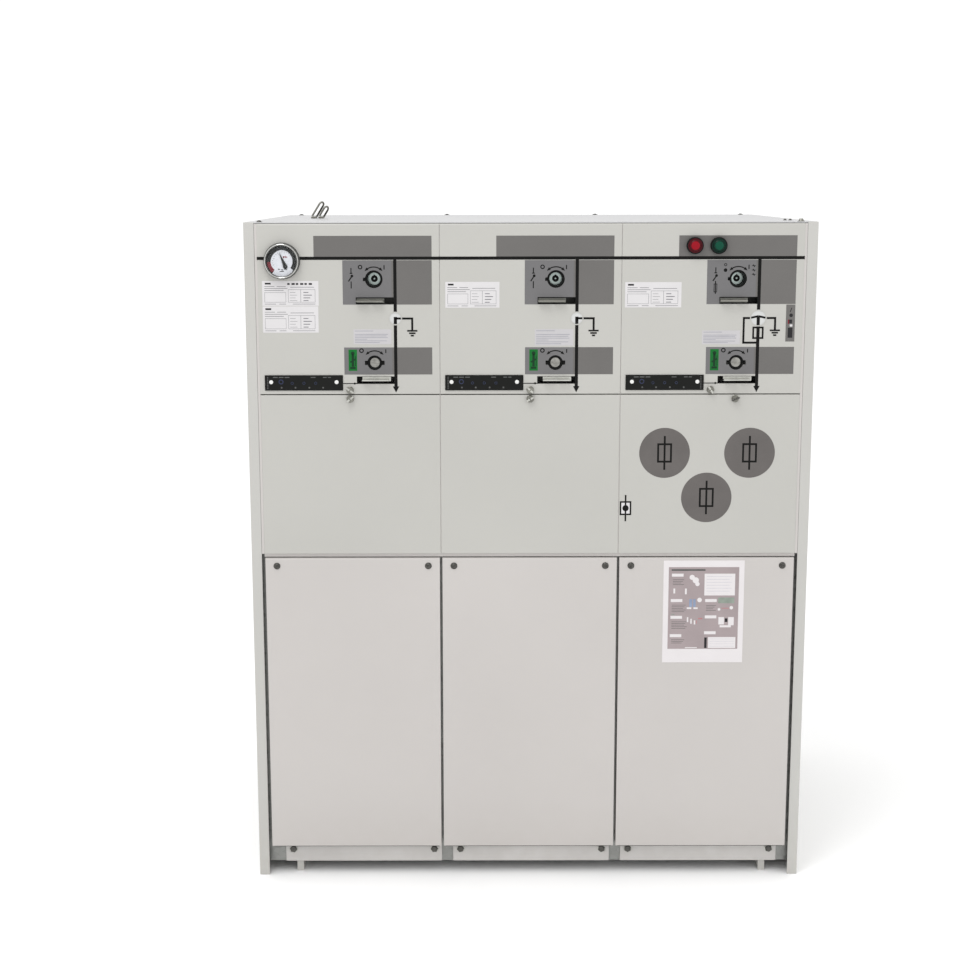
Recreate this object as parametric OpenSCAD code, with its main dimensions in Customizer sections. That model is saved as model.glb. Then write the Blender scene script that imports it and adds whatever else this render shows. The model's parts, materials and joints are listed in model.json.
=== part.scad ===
// Three-module gas-insulated ring main unit: two cable-switch modules and, on the right, a
// fuse-switch module. Millimetres, +X right, +Y to the rear, +Z up, origin on the floor under
// the middle of the cabinet.

/* [Cabinet] */
// Height over the roof
body_h = 1280; // [1100:10:1600]
// Depth from the side plates' front flanges to their rear flanges
body_d = 765; // [635:2.5:960]
// Width of one switch module
module_w = 339; // [325:1:420]
// Width of the side plates' folded flanges
side_flange = 19.5; // [12:0.5:30]
// Gap between a side flange and the covers beside it
side_gap = 4.5; // [2:0.5:8]
// Thickness of the painted sheet
sheet = 2; // [1.5:0.5:3]
// Thickness of the roof plate
roof_t = 2.5; // [2:0.5:4]

/* [Covers] */
// Height of an upper front panel
upper_h = 317; // [300:1:380]
// Height of a middle cover
middle_h = 306; // [220:1:400]
// Gap between two covers
cover_gap = 2; // [1:0.5:4]
// Gap between the cable compartment covers
cable_cover_gap = 5; // [3:0.5:8]
// Gap over the cable compartment covers
cable_top_gap = 8; // [4:0.5:12]
// How far the cable compartment covers stand out
cable_cover_proud = 4; // [0:1:10]
// Depth of the covers' folded edges
fold = 18; // [12:1:25]
// Clearance between pieces that are screwed together
seat = 0.3; // [0.2:0.1:0.5]

/* [Base] */
// Free height under the base frame
foot_h = 22.5; // [18:0.5:60]
// Height of the base frame's rails
rail_h = 37.5; // [25:0.5:50]
// Thickness of the frame's steel
frame_t = 3; // [2:0.5:5]
// Depth of the frame's posts and rails
frame_d = 25; // [20:1:40]
// Distance of the base from the cabinet's middle, to the right
base_shift = 5.5; // [-8:0.5:8]
// Width of a floor runner
runner_w = 13; // [10:1:30]
// Distance of the floor runners' middles from the cabinet's sides
runner_side = 73; // [60:0.5:100]
// Set-back of the floor runners from the front and rear
runner_inset = 20; // [10:1:60]
// Width and length of a floor plate
floor_plate = 50; // [40:1:70]
// Thickness of a floor plate
floor_plate_t = 4; // [3:0.5:8]
// Diameter of the floor bolt holes
floor_hole_d = 14; // [10:0.5:18]
// Distance between the floor bolt holes, front to rear
floor_hole_y = 520; // [400:5:640]
// Gap between two base strips
strip_gap = 22; // [12:1:40]
// How much closer together the base strips stand than the modules
strip_closer = 7; // [0:1:14]
// Set-back of the base strips from the cabinet's front
strip_inset = 15; // [5:1:16]

/* [Tank] */
// Set-back of the gas tank from the cabinet's front
tank_front = 150; // [120:5:200]
// Height of the gas tank's floor
tank_z = 480; // [400:5:560]
// Thickness of the gas tank's steel
tank_t = 3; // [2:0.5:5]
// Height of the cable bushings' axes
bushing_z = 560; // [530:5:600]
// Distance between a module's cable bushings
bushing_pitch = 95; // [80:1:100]
// Length of a cable bushing
bushing_l = 90; // [60:1:100]

/* [Operating shafts] */
// Distance of both shafts from their module's middle, to the right
shaft_x = 47; // [30:1:60]
// Depth of the upper shafts' axes below the roof
upper_shaft_drop = 105; // [95:1:115]
// Depth of the lower shafts' axes below the roof
lower_shaft_drop = 261; // [255:1:268]
// Diameter of an upper shaft
upper_shaft_d = 23; // [20:0.5:28]
// Diameter of the lever socket in an upper shaft
socket_d = 12; // [8:0.5:14]
// Depth of the lever socket
socket_l = 28; // [15:1:34]
// Diameter of a lower shaft
lower_shaft_d = 18; // [14:0.5:20]
// Set-back of the upper shafts' ends from the panel's face
upper_shaft_inset = 20; // [10:1:30]
// Set-back of the lower shafts' ends from the panel's face
lower_shaft_inset = 5; // [2:1:15]
// Radial clearance of a shaft in its bush
shaft_clear = 0.1; // [0.05:0.05:0.3]
// Diameter of the panel's hole in front of an upper shaft
upper_hole_d = 33; // [30:0.5:36]
// Diameter of the panel's hole in front of a lower shaft
lower_hole_d = 28; // [24:0.5:30]
// Width of the lower hole over its side notches
lower_notch_w = 37; // [32:0.5:42]
// Set-back of the mechanism housings from the panel's face
mechanism_y = 46; // [44:1:60]

/* [Indicators] */
// Distance of the position windows from their module's middle
window_x = 87; // [80:1:95]
// Depth of the position windows below the roof
window_drop = 178; // [174:1:185]
// Diameter of the position windows
window_d = 24; // [20:0.5:28]
// Diameter of the fuse module's position window
fuse_window_d = 30; // [24:0.5:32]
// Width of a voltage indicator
voltage_w = 147; // [120:1:150]
// Height of a voltage indicator
voltage_h = 29; // [24:0.5:32]
// Distance of a voltage indicator's middle from its module's middle, to the left
voltage_x = 86.5; // [80:0.5:90]
// Depth of the voltage indicators' middles below the roof
voltage_drop = 298.5; // [294:0.5:299]

/* [Padlock slots] */
// Width of a padlock slot
slot_w = 71; // [60:1:76]
// Height of a padlock slot
slot_h = 13; // [10:0.5:15]
// Distance of the slots' middles from their module's middle
slot_x = 48.5; // [44:0.5:54]
// Depth of the upper slots below the roof
upper_slot_drop = 145; // [142:1:150]
// Depth of the lower slots below the roof
lower_slot_drop = 293; // [290:1:295]
// Width of a padlock plate
lock_plate_w = 50; // [40:1:55]
// How far a padlock plate stands out of the panel
lock_plate_proud = 12; // [11:0.5:15]
// Diameter of the padlock hole in a plate
lock_hole_d = 8; // [5:0.5:8]

/* [Gauge] */
// Distance of the gauge from the cabinet's left side
gauge_side = 70.5; // [68:0.5:82]
// Depth of the gauge below the roof
gauge_drop = 71; // [66:1:75]
// Diameter of the gauge's bezel
gauge_d = 66; // [55:1:70]
// How far the bezel stands out
gauge_proud = 14; // [10:1:15]
// Distance of the needle's pivot from the dial's middle, right and down
pivot_off = [7, 10]; // [0:1:12]

/* [Push buttons] */
// Distance between the two push buttons
button_pitch = 44; // [38:1:60]
// Distance of the buttons' middle from the fuse module's middle, to the left
button_x = 13; // [0:1:40]
// Depth of the buttons below the roof
button_drop = 43.5; // [38:0.5:50]
// Diameter of a button's bezel
bezel_d = 31; // [26:1:34]
// Diameter of a button's cap
cap_d = 22; // [18:0.5:24]
// Travel of a button
button_travel = 4; // [2:0.5:5]

/* [Lifting loops] */
// Distance of the first loop's foot from the cabinet's left side
loop_side = 94.5; // [72:0.5:130]
// Distance between the two loops
loop_pitch = 15; // [14:1:30]
// Set-back of the loops from the cabinet's front
loop_y = 380; // [340:5:420]
// Height of the taller loop
loop_h = 33; // [28:1:45]
// Lean of the loops to the right, degrees
loop_lean = 32; // [0:1:35]
// Diameter of the loops' wire
wire_d = 5; // [4:0.5:6]

/* [Hidden] */
$fn = 64;

modules = [0, 1, 2];
fuse_module = 2;
body_w = 3 * module_w + 2 * (side_gap + side_flange);
front = -body_d / 2;
rear = body_d / 2;
inner_x = body_w / 2 - sheet - seat;
covers_x = 1.5 * module_w;
runner_spacing = body_w - 2 * runner_side;
strip_pitch = module_w - strip_closer;
strip_w = strip_pitch - strip_gap;
frame_y = front + fold + seat;
frame_back = frame_y + frame_d;
frame_rear = rear - 2 * sheet - 2 * seat;

// Heights of the rows of covers, from the roof down
upper_top = body_h - roof_t - seat;
upper_z = upper_top - upper_h;
middle_z = upper_z - cover_gap - middle_h;
cable_top = middle_z - cable_top_gap;
base_top = foot_h + rail_h;
cable_z = base_top + cover_gap;

// Rails of the front frame, behind the rows' joints
rail_half = 12.5;
upper_rail_z = upper_z - cover_gap / 2 - 2;
middle_rail_z = middle_z - cable_top_gap / 2;
post_w = 20;
wide_post_w = 72;
end_post_w = 62;

upper_shaft_z = body_h - upper_shaft_drop;
lower_shaft_z = body_h - lower_shaft_drop;
window_z = body_h - window_drop;
voltage_z = body_h - voltage_drop;
upper_slot_z = body_h - upper_slot_drop;
lower_slot_z = body_h - lower_slot_drop;
voltage_rim = 3;

mechanism_front = front + mechanism_y;
mechanism_left = 100;
mechanism_right = 130;
mechanism_above = 62;
mechanism_below = 40;
bush_l = 26;
collar_r = 3;
collar_t = 6;

tank_x = covers_x;
tank_y = front + tank_front;
tank_back = frame_rear;
tank_top_t = 3.2;
tank_top_z = body_h - roof_t - seat - tank_top_t;

gauge_x = body_w / 2 - gauge_side;
gauge_z = body_h - gauge_drop;
gauge_wall = 4;
gauge_body_d = gauge_d - 10;
gauge_back = 35;
glass_t = 1.5;
glass_y = front - gauge_proud + 3;
needle_t = 1;
needle_gap = 1;
dial_t = 2;
needle_l = gauge_d / 2 - gauge_wall - 1;
needle_tilt = -23;
pivot_d = 1.6;
pipe_d = 8;
dial_y = glass_y + glass_t + 2 * needle_gap + needle_t;

button_z = body_h - button_drop;
bezel_proud = 9;
cap_proud = 13;
cap_clear = 0.15;
barrel_wall = 1.9;
barrel_l = 20;
barrel_end = 2;
cap_room = 7;
cap_l = bezel_proud + barrel_l - barrel_end - cap_room - button_travel;
contact_block = 26;
contact_back = 41;

loop_x = body_w / 2 - loop_side;
lock_edge = 1.5;
screw_d = 6;
screw_head_d = 14;
screw_head_l = 9;
screw_rise = 7.5;
fuse_screw_x = 47;

function module_x(i) = (i - 1) * module_w;
function window_r(i) = (i == fuse_module ? fuse_window_d : window_d) / 2;
function button_x_of(side) = module_x(fuse_module) - button_x + side * button_pitch / 2;
function screw_x(i, row) = module_x(i) + (i == fuse_module && row < 0 ? fuse_screw_x : 0);

// A box given by its lowest and highest corners
module block(low, high) {
    translate(low) cube(high - low);
}

// A round bar along +Y, from y to y + l
module bar_y(x, z, y, l, d) {
    translate([x, y, z]) rotate([-90, 0, 0]) cylinder(h = l, d = d);
}

// A folded sheet pan, open to the rear, with its face at y
module pan(x0, x1, z0, z1, y, depth) {
    difference() {
        block([x0, y, z0], [x1, y + depth, z1]);
        block([x0 + sheet, y + sheet, z0 + sheet], [x1 - sheet, y + depth + 1, z1 - sheet]);
    }
}

// An upright channel, open to the rear
module channel(x0, x1, z0, z1) {
    difference() {
        block([x0, frame_y, z0], [x1, frame_back, z1]);
        block([x0 + frame_t, frame_y + frame_t, z0 - 1], [x1 - frame_t, frame_back + 1, z1 + 1]);
    }
}

// A level channel between the side plates, open to the rear
module cross_rail(z) {
    difference() {
        block([-inner_x, frame_y, z - rail_half], [inner_x, frame_back, z + rail_half]);
        block([-inner_x - 1, frame_y + frame_t, z - rail_half + frame_t],
            [inner_x + 1, frame_back + 1, z + rail_half - frame_t]);
    }
}

// An angle along X: its upright leg at y, its level leg towards the middle of the cabinet
module angle_x(y, side) {
    leg = side > 0 ? [y, y + frame_d] : [y - frame_d, y];
    web = side > 0 ? [y, y + frame_t] : [y - frame_t, y];
    block([-inner_x, web[0], foot_h], [inner_x, web[1], base_top]);
    block([-inner_x, leg[0], foot_h], [inner_x, leg[1], foot_h + frame_t]);
}

// An angle along Y, with its upright leg outwards
module angle_y(x, side) {
    leg = side > 0 ? [x - frame_d, x] : [x, x + frame_d];
    web = side > 0 ? [x - frame_t, x] : [x, x + frame_t];
    block([web[0], frame_y, foot_h], [web[1], frame_rear, base_top]);
    block([leg[0], frame_y, foot_h], [leg[1], frame_rear, foot_h + frame_t]);
}

module base_frame() {
    color("gainsboro") union() {
        angle_x(frame_y, 1);
        angle_x(frame_rear, -1);
        for (side = [-1, 1]) angle_y(side * inner_x, side);
        for (side = [-1, 1]) angle_y(side * (module_w + frame_t) / 2, side);
    }
}

// Two bars under the base frame, each with two plates for the floor bolts on its inner side
module floor_runners() {
    color("gainsboro") for (side = [-1, 1]) {
        x = base_shift + side * runner_spacing / 2;
        hole_x = x - side * (runner_w + floor_plate) / 2;
        difference() {
            union() {
                block([x - runner_w / 2, front + runner_inset, 0], [x + runner_w / 2, rear - runner_inset, foot_h]);
                for (end = [-1, 1])
                    translate([hole_x, end * floor_hole_y / 2, floor_plate_t / 2])
                        cube([floor_plate + 1, floor_plate, floor_plate_t], center = true);
            }
            for (end = [-1, 1])
                translate([hole_x, end * floor_hole_y / 2, -1]) cylinder(h = floor_plate_t + 2, d = floor_hole_d);
        }
    }
}

module side_plate(side) {
    outer = body_w / 2;
    color("gainsboro") mirror([side < 0 ? 1 : 0, 0, 0]) {
        block([outer - sheet, front, 0], [outer, rear, body_h]);
        block([outer - side_flange, front, 0], [outer, front + sheet, body_h]);
        block([outer - side_flange, rear - sheet, 0], [outer, rear, body_h]);
    }
}

module gas_tank() {
    color("silver") difference() {
        block([-tank_x, tank_y, tank_z], [tank_x, tank_back, tank_top_z]);
        block([-tank_x + tank_t, tank_y + tank_t, tank_z + tank_t],
            [tank_x - tank_t, tank_back - tank_t, tank_top_z + 1]);
    }
}

module tank_top() {
    color("silver") block([-tank_x, tank_y, tank_top_z], [tank_x, tank_back, tank_top_z + tank_top_t]);
}

module roof_plate() {
    color("whitesmoke")
        block([-inner_x, front + sheet + seat, body_h - roof_t], [inner_x, rear - sheet - seat, body_h]);
}

module rear_cover() {
    y = rear - 2 * sheet - seat;
    color("gainsboro") block([-inner_x, y, foot_h], [inner_x, y + sheet, middle_z]);
}

module front_frame() {
    color("darkgray") union() {
        for (z = [middle_rail_z, upper_rail_z, upper_top - sheet - seat - rail_half]) cross_rail(z);
        for (side = [-1, 1]) {
            channel(side * module_w / 2 - wide_post_w / 2, side * module_w / 2 + wide_post_w / 2,
                base_top, middle_rail_z);
            channel(side * module_w / 2 - post_w / 2, side * module_w / 2 + post_w / 2,
                middle_rail_z, upper_top - sheet - seat - rail_half);
            mirror([side < 0 ? 1 : 0, 0, 0]) {
                channel(inner_x - end_post_w, inner_x, base_top, middle_rail_z);
                channel(inner_x - post_w, inner_x, middle_rail_z, upper_top - sheet - seat - rail_half);
            }
        }
    }
}

module partitions() {
    color("silver") for (side = [-1, 1]) {
        x = side * module_w / 2;
        block([x - sheet / 2, frame_back, base_top],
            [x + sheet / 2, frame_rear, tank_z]);
        block([x - sheet / 2, frame_back, tank_z - 1], [x + sheet / 2, tank_y, middle_z]);
    }
}

module cable_bushings() {
    root_l = 18;
    color("firebrick") for (i = modules, k = [-1, 0, 1]) {
        x = module_x(i) + k * bushing_pitch;
        translate([x, tank_y - seat, bushing_z]) rotate([90, 0, 0]) {
            cylinder(h = root_l, d = 84);
            translate([0, 0, root_l]) cylinder(h = bushing_l - root_l, d1 = 58, d2 = 44);
        }
    }
}

module base_strips() {
    depth = fold - strip_inset;
    color("gainsboro") for (i = modules) {
        x = base_shift + (i - 1) * strip_pitch;
        block([x - strip_w / 2, front + strip_inset, foot_h],
            [x + strip_w / 2, front + strip_inset + depth, base_top]);
    }
}

module upper_panel(i) {
    x = module_x(i);
    color("gainsboro") difference() {
        pan(x - (module_w - cover_gap / 2) / 2, x + (module_w - cover_gap / 2) / 2,
            upper_z, upper_top, front, fold);
        bar_y(x + shaft_x, upper_shaft_z, front - 1, fold, upper_hole_d);
        block([x + shaft_x - upper_hole_d / 2 - 3, front - 1, upper_shaft_z - 3],
            [x + shaft_x, front + sheet + 1, upper_shaft_z + 3]);
        bar_y(x + shaft_x, lower_shaft_z, front - 1, fold, lower_hole_d);
        block([x + shaft_x - lower_notch_w / 2, front - 1, lower_shaft_z - 4],
            [x + shaft_x + lower_notch_w / 2, front + sheet + 1, lower_shaft_z + 4]);
        bar_y(x + window_x, window_z, front - 1, fold, 2 * window_r(i));
        for (z = [upper_slot_z, lower_slot_z])
            block([x + slot_x - slot_w / 2, front - 1, z - slot_h / 2],
                [x + slot_x + slot_w / 2, front + sheet + 1, z + slot_h / 2]);
        block([x - voltage_x - voltage_w / 2 + voltage_rim, front - 1, voltage_z - voltage_h / 2 + voltage_rim],
            [x - voltage_x + voltage_w / 2 - voltage_rim, front + sheet + 1,
                voltage_z + voltage_h / 2 - voltage_rim]);
        bar_y(x, upper_z + screw_rise, front - 1, fold, screw_d + 2 * seat);
        if (i == 0) bar_y(-gauge_x, gauge_z, front - 1, fold, gauge_body_d + 2 * seat);
        if (i == fuse_module)
            for (side = [-1, 1])
                bar_y(button_x_of(side), button_z, front - 1, fold, cap_d + 2 * barrel_wall + 2 * seat);
    }
}

module middle_cover(i) {
    x = module_x(i);
    color("gainsboro") difference() {
        pan(x - (module_w - cover_gap / 2) / 2, x + (module_w - cover_gap / 2) / 2,
            middle_z, middle_z + middle_h, front, fold);
        bar_y(screw_x(i, -1), middle_z + middle_h - screw_rise, front - 1, fold, screw_d + 2 * seat);
    }
}

module cable_cover(i) {
    x = module_x(i);
    half = (module_w - cable_cover_gap) / 2;
    color("gainsboro")
        pan(x - half, x + half, cable_z, cable_top, front - cable_cover_proud, fold + cable_cover_proud);
}

// The closed housing of a module's spring mechanism, with a blind bush for each shaft
module operating_mechanism(i) {
    x = module_x(i);
    color("dimgray") difference() {
        block([x - mechanism_left, mechanism_front, lower_shaft_z - mechanism_below],
            [x + mechanism_right, tank_y - seat, upper_shaft_z + mechanism_above]);
        bar_y(x + shaft_x, upper_shaft_z, mechanism_front - 1, bush_l + 2, upper_shaft_d + 2 * shaft_clear);
        bar_y(x + shaft_x, lower_shaft_z, mechanism_front - 1, bush_l + 2, lower_shaft_d + 2 * shaft_clear);
    }
}

// An operating shaft: a collar in front of the mechanism housing keeps it from sliding in
module shaft(i, z, inset, d) {
    x = module_x(i) + shaft_x;
    bar_y(x, z, front + inset, mechanism_y - inset + bush_l, d);
    bar_y(x, z, mechanism_front - seat - collar_t, collar_t, d + 2 * collar_r);
}

module upper_shaft(i) {
    x = module_x(i) + shaft_x;
    key = 3;
    color("lightslategray") difference() {
        shaft(i, upper_shaft_z, upper_shaft_inset, upper_shaft_d);
        bar_y(x, upper_shaft_z, front + upper_shaft_inset - 1, socket_l + 1, socket_d);
        block([x - key / 2, front + upper_shaft_inset - 1, upper_shaft_z],
            [x + key / 2, front + upper_shaft_inset + socket_l / 2, upper_shaft_z + socket_d / 2 + 1.5]);
    }
}

module lower_shaft(i) {
    x = module_x(i) + shaft_x;
    slot = 3;
    color("whitesmoke") difference() {
        shaft(i, lower_shaft_z, lower_shaft_inset, lower_shaft_d);
        block([x - lower_shaft_d, front, lower_shaft_z - slot / 2],
            [x + lower_shaft_d, front + lower_shaft_inset + 2, lower_shaft_z + slot / 2]);
    }
}

module position_indicators() {
    color("white") for (i = modules) {
        x = module_x(i) + window_x;
        rim_y = front + sheet + seat;
        bar_y(x, window_z, front + 0.5, rim_y - front, 2 * window_r(i) - 2 * seat);
        bar_y(x, window_z, rim_y, 3, 2 * window_r(i) + 10);
        bar_y(x, window_z, rim_y, mechanism_front - seat - rim_y, 8);
    }
}

module voltage_indicators() {
    color("black") for (i = modules) {
        x0 = module_x(i) - voltage_x - voltage_w / 2;
        x1 = x0 + voltage_w;
        z0 = voltage_z - voltage_h / 2;
        z1 = voltage_z + voltage_h / 2;
        inner = voltage_rim + seat;
        block([x0, front - 1.5 - seat, z0], [x1, front - seat, z1]);
        block([x0 + inner, front - 1, z0 + inner], [x1 - inner, front + 30, z1 - inner]);
    }
}

// A flat plate with a padlock hole, standing out of a slot; dx places it along the slot
module padlock_plate(i, z, dx) {
    x = module_x(i) + slot_x + dx;
    plate_t = 2.5;
    color("silver") difference() {
        block([x - lock_plate_w / 2, front - lock_plate_proud, z - plate_t / 2],
            [x + lock_plate_w / 2, mechanism_front - seat, z + plate_t / 2]);
        translate([x, front - lock_plate_proud + lock_edge + lock_hole_d / 2, z - plate_t])
            cylinder(h = 2 * plate_t, d = lock_hole_d);
    }
}

module padlock_plates_upper() {
    for (i = modules) padlock_plate(i, upper_slot_z, -(slot_w - lock_plate_w) / 2 + 1);
}

module padlock_plates_lower() {
    for (i = modules) padlock_plate(i, lower_slot_z, 0);
}

module gauge_case() {
    color("silver") difference() {
        union() {
            bar_y(-gauge_x, gauge_z, front - gauge_proud, gauge_proud - seat, gauge_d);
            bar_y(-gauge_x, gauge_z, front - 1, gauge_back + 1, gauge_body_d);
            bar_y(-gauge_x, gauge_z, front + gauge_back - 1, tank_front - gauge_back + 1 - seat, pipe_d);
        }
        bar_y(-gauge_x, gauge_z, front - gauge_proud - 1, dial_y + dial_t + 1 - front + gauge_proud,
            gauge_d - 2 * gauge_wall);
    }
}

module gauge_dial() {
    color("white") union() {
        bar_y(-gauge_x, gauge_z, dial_y, dial_t, gauge_d - 2 * gauge_wall - seat);
        bar_y(-gauge_x + pivot_off[0], gauge_z - pivot_off[1], dial_y - needle_gap - needle_t - 0.5,
            needle_gap + needle_t + 1, pivot_d);
    }
}

module gauge_needle() {
    hub_d = 5;
    color("black")
        translate([-gauge_x + pivot_off[0], dial_y - needle_gap, gauge_z - pivot_off[1]])
            rotate([90, needle_tilt, 0]) difference() {
                union() {
                    cylinder(h = needle_t, d = hub_d);
                    linear_extrude(needle_t) polygon([[-1.2, 0], [1.2, 0], [0.4, needle_l], [-0.4, needle_l]]);
                }
                translate([0, 0, -1]) cylinder(h = needle_t + 2, d = pivot_d + 0.2);
            }
}

module gauge_glass() {
    color("lightcyan", 0.4)
        bar_y(-gauge_x, gauge_z, glass_y, glass_t, gauge_d - 2 * gauge_wall - seat);
}

// Bezel, threaded barrel and contact block of each push button
module button_bezels() {
    color("silver") for (side = [-1, 1]) {
        x = button_x_of(side);
        difference() {
            union() {
                bar_y(x, button_z, front - bezel_proud, bezel_proud - seat, bezel_d);
                bar_y(x, button_z, front - 1, barrel_l + 1, cap_d + 2 * barrel_wall);
                block([x - contact_block / 2, front + barrel_l - 1, button_z - contact_block / 2],
                    [x + contact_block / 2, front + contact_back, button_z + contact_block / 2]);
            }
            bar_y(x, button_z, front - bezel_proud - 1, bezel_proud + 1 + barrel_l - barrel_end, cap_d + 2 * cap_clear);
        }
    }
}

module button(side) {
    edge = 2;
    x = button_x_of(side);
    translate([x, front - cap_proud, button_z]) rotate([-90, 0, 0]) rotate_extrude()
        polygon([[0, 0], [cap_d / 2 - 2 * edge, 0], [cap_d / 2 - edge / 2, edge / 2], [cap_d / 2, edge],
            [cap_d / 2, cap_l + cap_proud - bezel_proud], [0, cap_l + cap_proud - bezel_proud]]);
}

module red_button() {
    color("crimson") button(-1);
}

module green_button() {
    color("seagreen") button(1);
}

// One in each upper panel and one in each middle cover, screwed into the rail behind
module captive_screws() {
    color("gray") for (i = modules, row = [-1, 1]) {
        z = row > 0 ? upper_z + screw_rise : middle_z + middle_h - screw_rise;
        bar_y(screw_x(i, row), z, front - seat - screw_head_l, screw_head_l, screw_head_d);
        bar_y(screw_x(i, row), z, front - 1, frame_y - front + 1 - 0.01, screw_d);
    }
}

// A wire loop standing in a small foot on the roof, leaning to the right
module lifting_loop(x, h) {
    bend = (loop_pitch - wire_d) / 2 + 1;
    plate_h = 4;
    leg = h / cos(loop_lean) - bend - wire_d / 2 - plate_h / 2;
    translate([x, front + loop_y, body_h]) {
        translate([-wire_d, -bend - wire_d, 0]) cube([2 * wire_d, 2 * (bend + wire_d), plate_h]);
        translate([0, 0, plate_h / 2]) rotate([0, loop_lean, 0]) {
            for (side = [-1, 1]) translate([0, side * bend, 0]) cylinder(h = leg, d = wire_d);
            translate([0, 0, leg]) rotate([90, 0, 90]) rotate_extrude(angle = 180)
                translate([bend, 0]) circle(d = wire_d);
        }
    }
}

module lifting_loops() {
    color("dimgray") {
        lifting_loop(-loop_x, loop_h);
        lifting_loop(-loop_x + loop_pitch, loop_h - 9);
    }
}

base_frame();
floor_runners();
side_plate(-1);  // side_plate_left
side_plate(1);  // side_plate_right
gas_tank();
tank_top();
roof_plate();
rear_cover();
front_frame();
partitions();
cable_bushings();
base_strips();
for (i = modules) {
    upper_panel(i);
    middle_cover(i);
    cable_cover(i);
    operating_mechanism(i);
    upper_shaft(i);
    lower_shaft(i);
}
position_indicators();
voltage_indicators();
padlock_plates_upper();
padlock_plates_lower();
gauge_case();
gauge_dial();
gauge_needle();
gauge_glass();
button_bezels();
red_button();
green_button();
captive_screws();
lifting_loops();
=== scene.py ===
import json
import math

import bmesh
import bpy
from mathutils import Matrix, Vector


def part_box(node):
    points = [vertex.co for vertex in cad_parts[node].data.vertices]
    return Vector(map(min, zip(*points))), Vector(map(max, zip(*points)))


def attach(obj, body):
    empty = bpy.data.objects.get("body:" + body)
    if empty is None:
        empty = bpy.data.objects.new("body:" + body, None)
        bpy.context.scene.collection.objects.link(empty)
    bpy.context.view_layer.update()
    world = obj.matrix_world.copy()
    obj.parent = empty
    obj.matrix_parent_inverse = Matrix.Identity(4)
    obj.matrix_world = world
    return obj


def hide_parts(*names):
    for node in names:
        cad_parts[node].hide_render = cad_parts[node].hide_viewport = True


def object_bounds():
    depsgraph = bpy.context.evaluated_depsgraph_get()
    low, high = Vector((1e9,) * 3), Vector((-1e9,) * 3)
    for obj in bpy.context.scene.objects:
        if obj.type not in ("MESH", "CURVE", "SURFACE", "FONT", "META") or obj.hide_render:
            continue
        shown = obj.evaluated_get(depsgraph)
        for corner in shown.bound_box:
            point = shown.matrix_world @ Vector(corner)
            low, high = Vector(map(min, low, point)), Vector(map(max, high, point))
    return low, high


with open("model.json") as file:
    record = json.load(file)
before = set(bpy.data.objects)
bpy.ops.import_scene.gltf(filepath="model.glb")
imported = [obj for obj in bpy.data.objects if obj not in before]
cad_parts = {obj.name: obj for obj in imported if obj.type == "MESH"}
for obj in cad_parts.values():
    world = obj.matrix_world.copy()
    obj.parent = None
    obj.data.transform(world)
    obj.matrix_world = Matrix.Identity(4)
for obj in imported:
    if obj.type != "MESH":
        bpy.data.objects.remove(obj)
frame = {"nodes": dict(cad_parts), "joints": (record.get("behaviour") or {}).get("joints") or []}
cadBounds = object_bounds()
nodes = frame["nodes"]
mm = 0.001  # every size below is in millimetres

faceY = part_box("upper_panel_1")[0].y / mm  # face of the upper and middle panels
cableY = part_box("cable_cover_1")[0].y / mm  # face of the cable compartment covers
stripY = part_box("base_strips")[0].y / mm
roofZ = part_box("roof_plate")[1].z / mm
modules = (1, 2, 3)
fuseModule = 3


def middle(node):
    low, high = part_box(node)
    return (low + high) / 2 / mm


moduleX = {i: middle(f"upper_panel_{i}").x for i in modules}
print("frame loaded:", len(nodes), "nodes")


# tools for meshes: x to the right, y to the rear, z up, all in millimetres

def placedAt(x, y, z):
    return Matrix.Translation(Vector((x, y, z)) * mm)


def turnedBy(angle, axis):
    return Matrix.Rotation(math.radians(angle), 4, axis)


def addBlock(bm, x0, x1, y0, y1, z0, z1, turn=0.0):
    centre = Vector(((x0 + x1) / 2, (y0 + y1) / 2, (z0 + z1) / 2)) * mm
    size = Vector((x1 - x0, y1 - y0, z1 - z0)) * mm
    place = Matrix.Translation(centre) @ turnedBy(turn, "Y") @ Matrix.Diagonal((*size, 1))
    return bmesh.ops.create_cube(bm, size=1, matrix=place)["verts"]


def addStroke(bm, x0, z0, x1, z1, width, back, ahead):
    # a straight bar on an upright plane, from one point to the other
    length = math.hypot(x1 - x0, z1 - z0)
    turn = -math.degrees(math.atan2(z1 - z0, x1 - x0))
    x, z = (x0 + x1) / 2, (z0 + z1) / 2
    return addBlock(bm, x - length / 2, x + length / 2, ahead, back, z - width / 2, z + width / 2, turn)


def addDisc(bm, x, z, back, ahead, radius, frontRadius=None, steps=40, turn=0.0):
    # a round or many-sided plug along Y; its front may have its own radius
    place = placedAt(x, (back + ahead) / 2, z) @ turnedBy(90, "X")
    place = place @ turnedBy(turn, "Z")
    return bmesh.ops.create_cone(bm, cap_ends=True, segments=steps, radius1=radius * mm,
                                 radius2=(frontRadius or radius) * mm, depth=(back - ahead) * mm,
                                 matrix=place)["verts"]


def addLathe(bm, x, y, z, profile, steps=48):
    # a profile of (radius, distance in front of y), turned about an axis along Y
    verts = [bm.verts.new(Vector((x + radius, y - ahead, z)) * mm) for radius, ahead in profile]
    edges = [bm.edges.new(pair) for pair in zip(verts, verts[1:])]
    bmesh.ops.spin(bm, geom=verts + edges, cent=Vector((x, y, z)) * mm, axis=(0, 1, 0), angle=math.tau,
                   steps=steps, use_merge=True)


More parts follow.
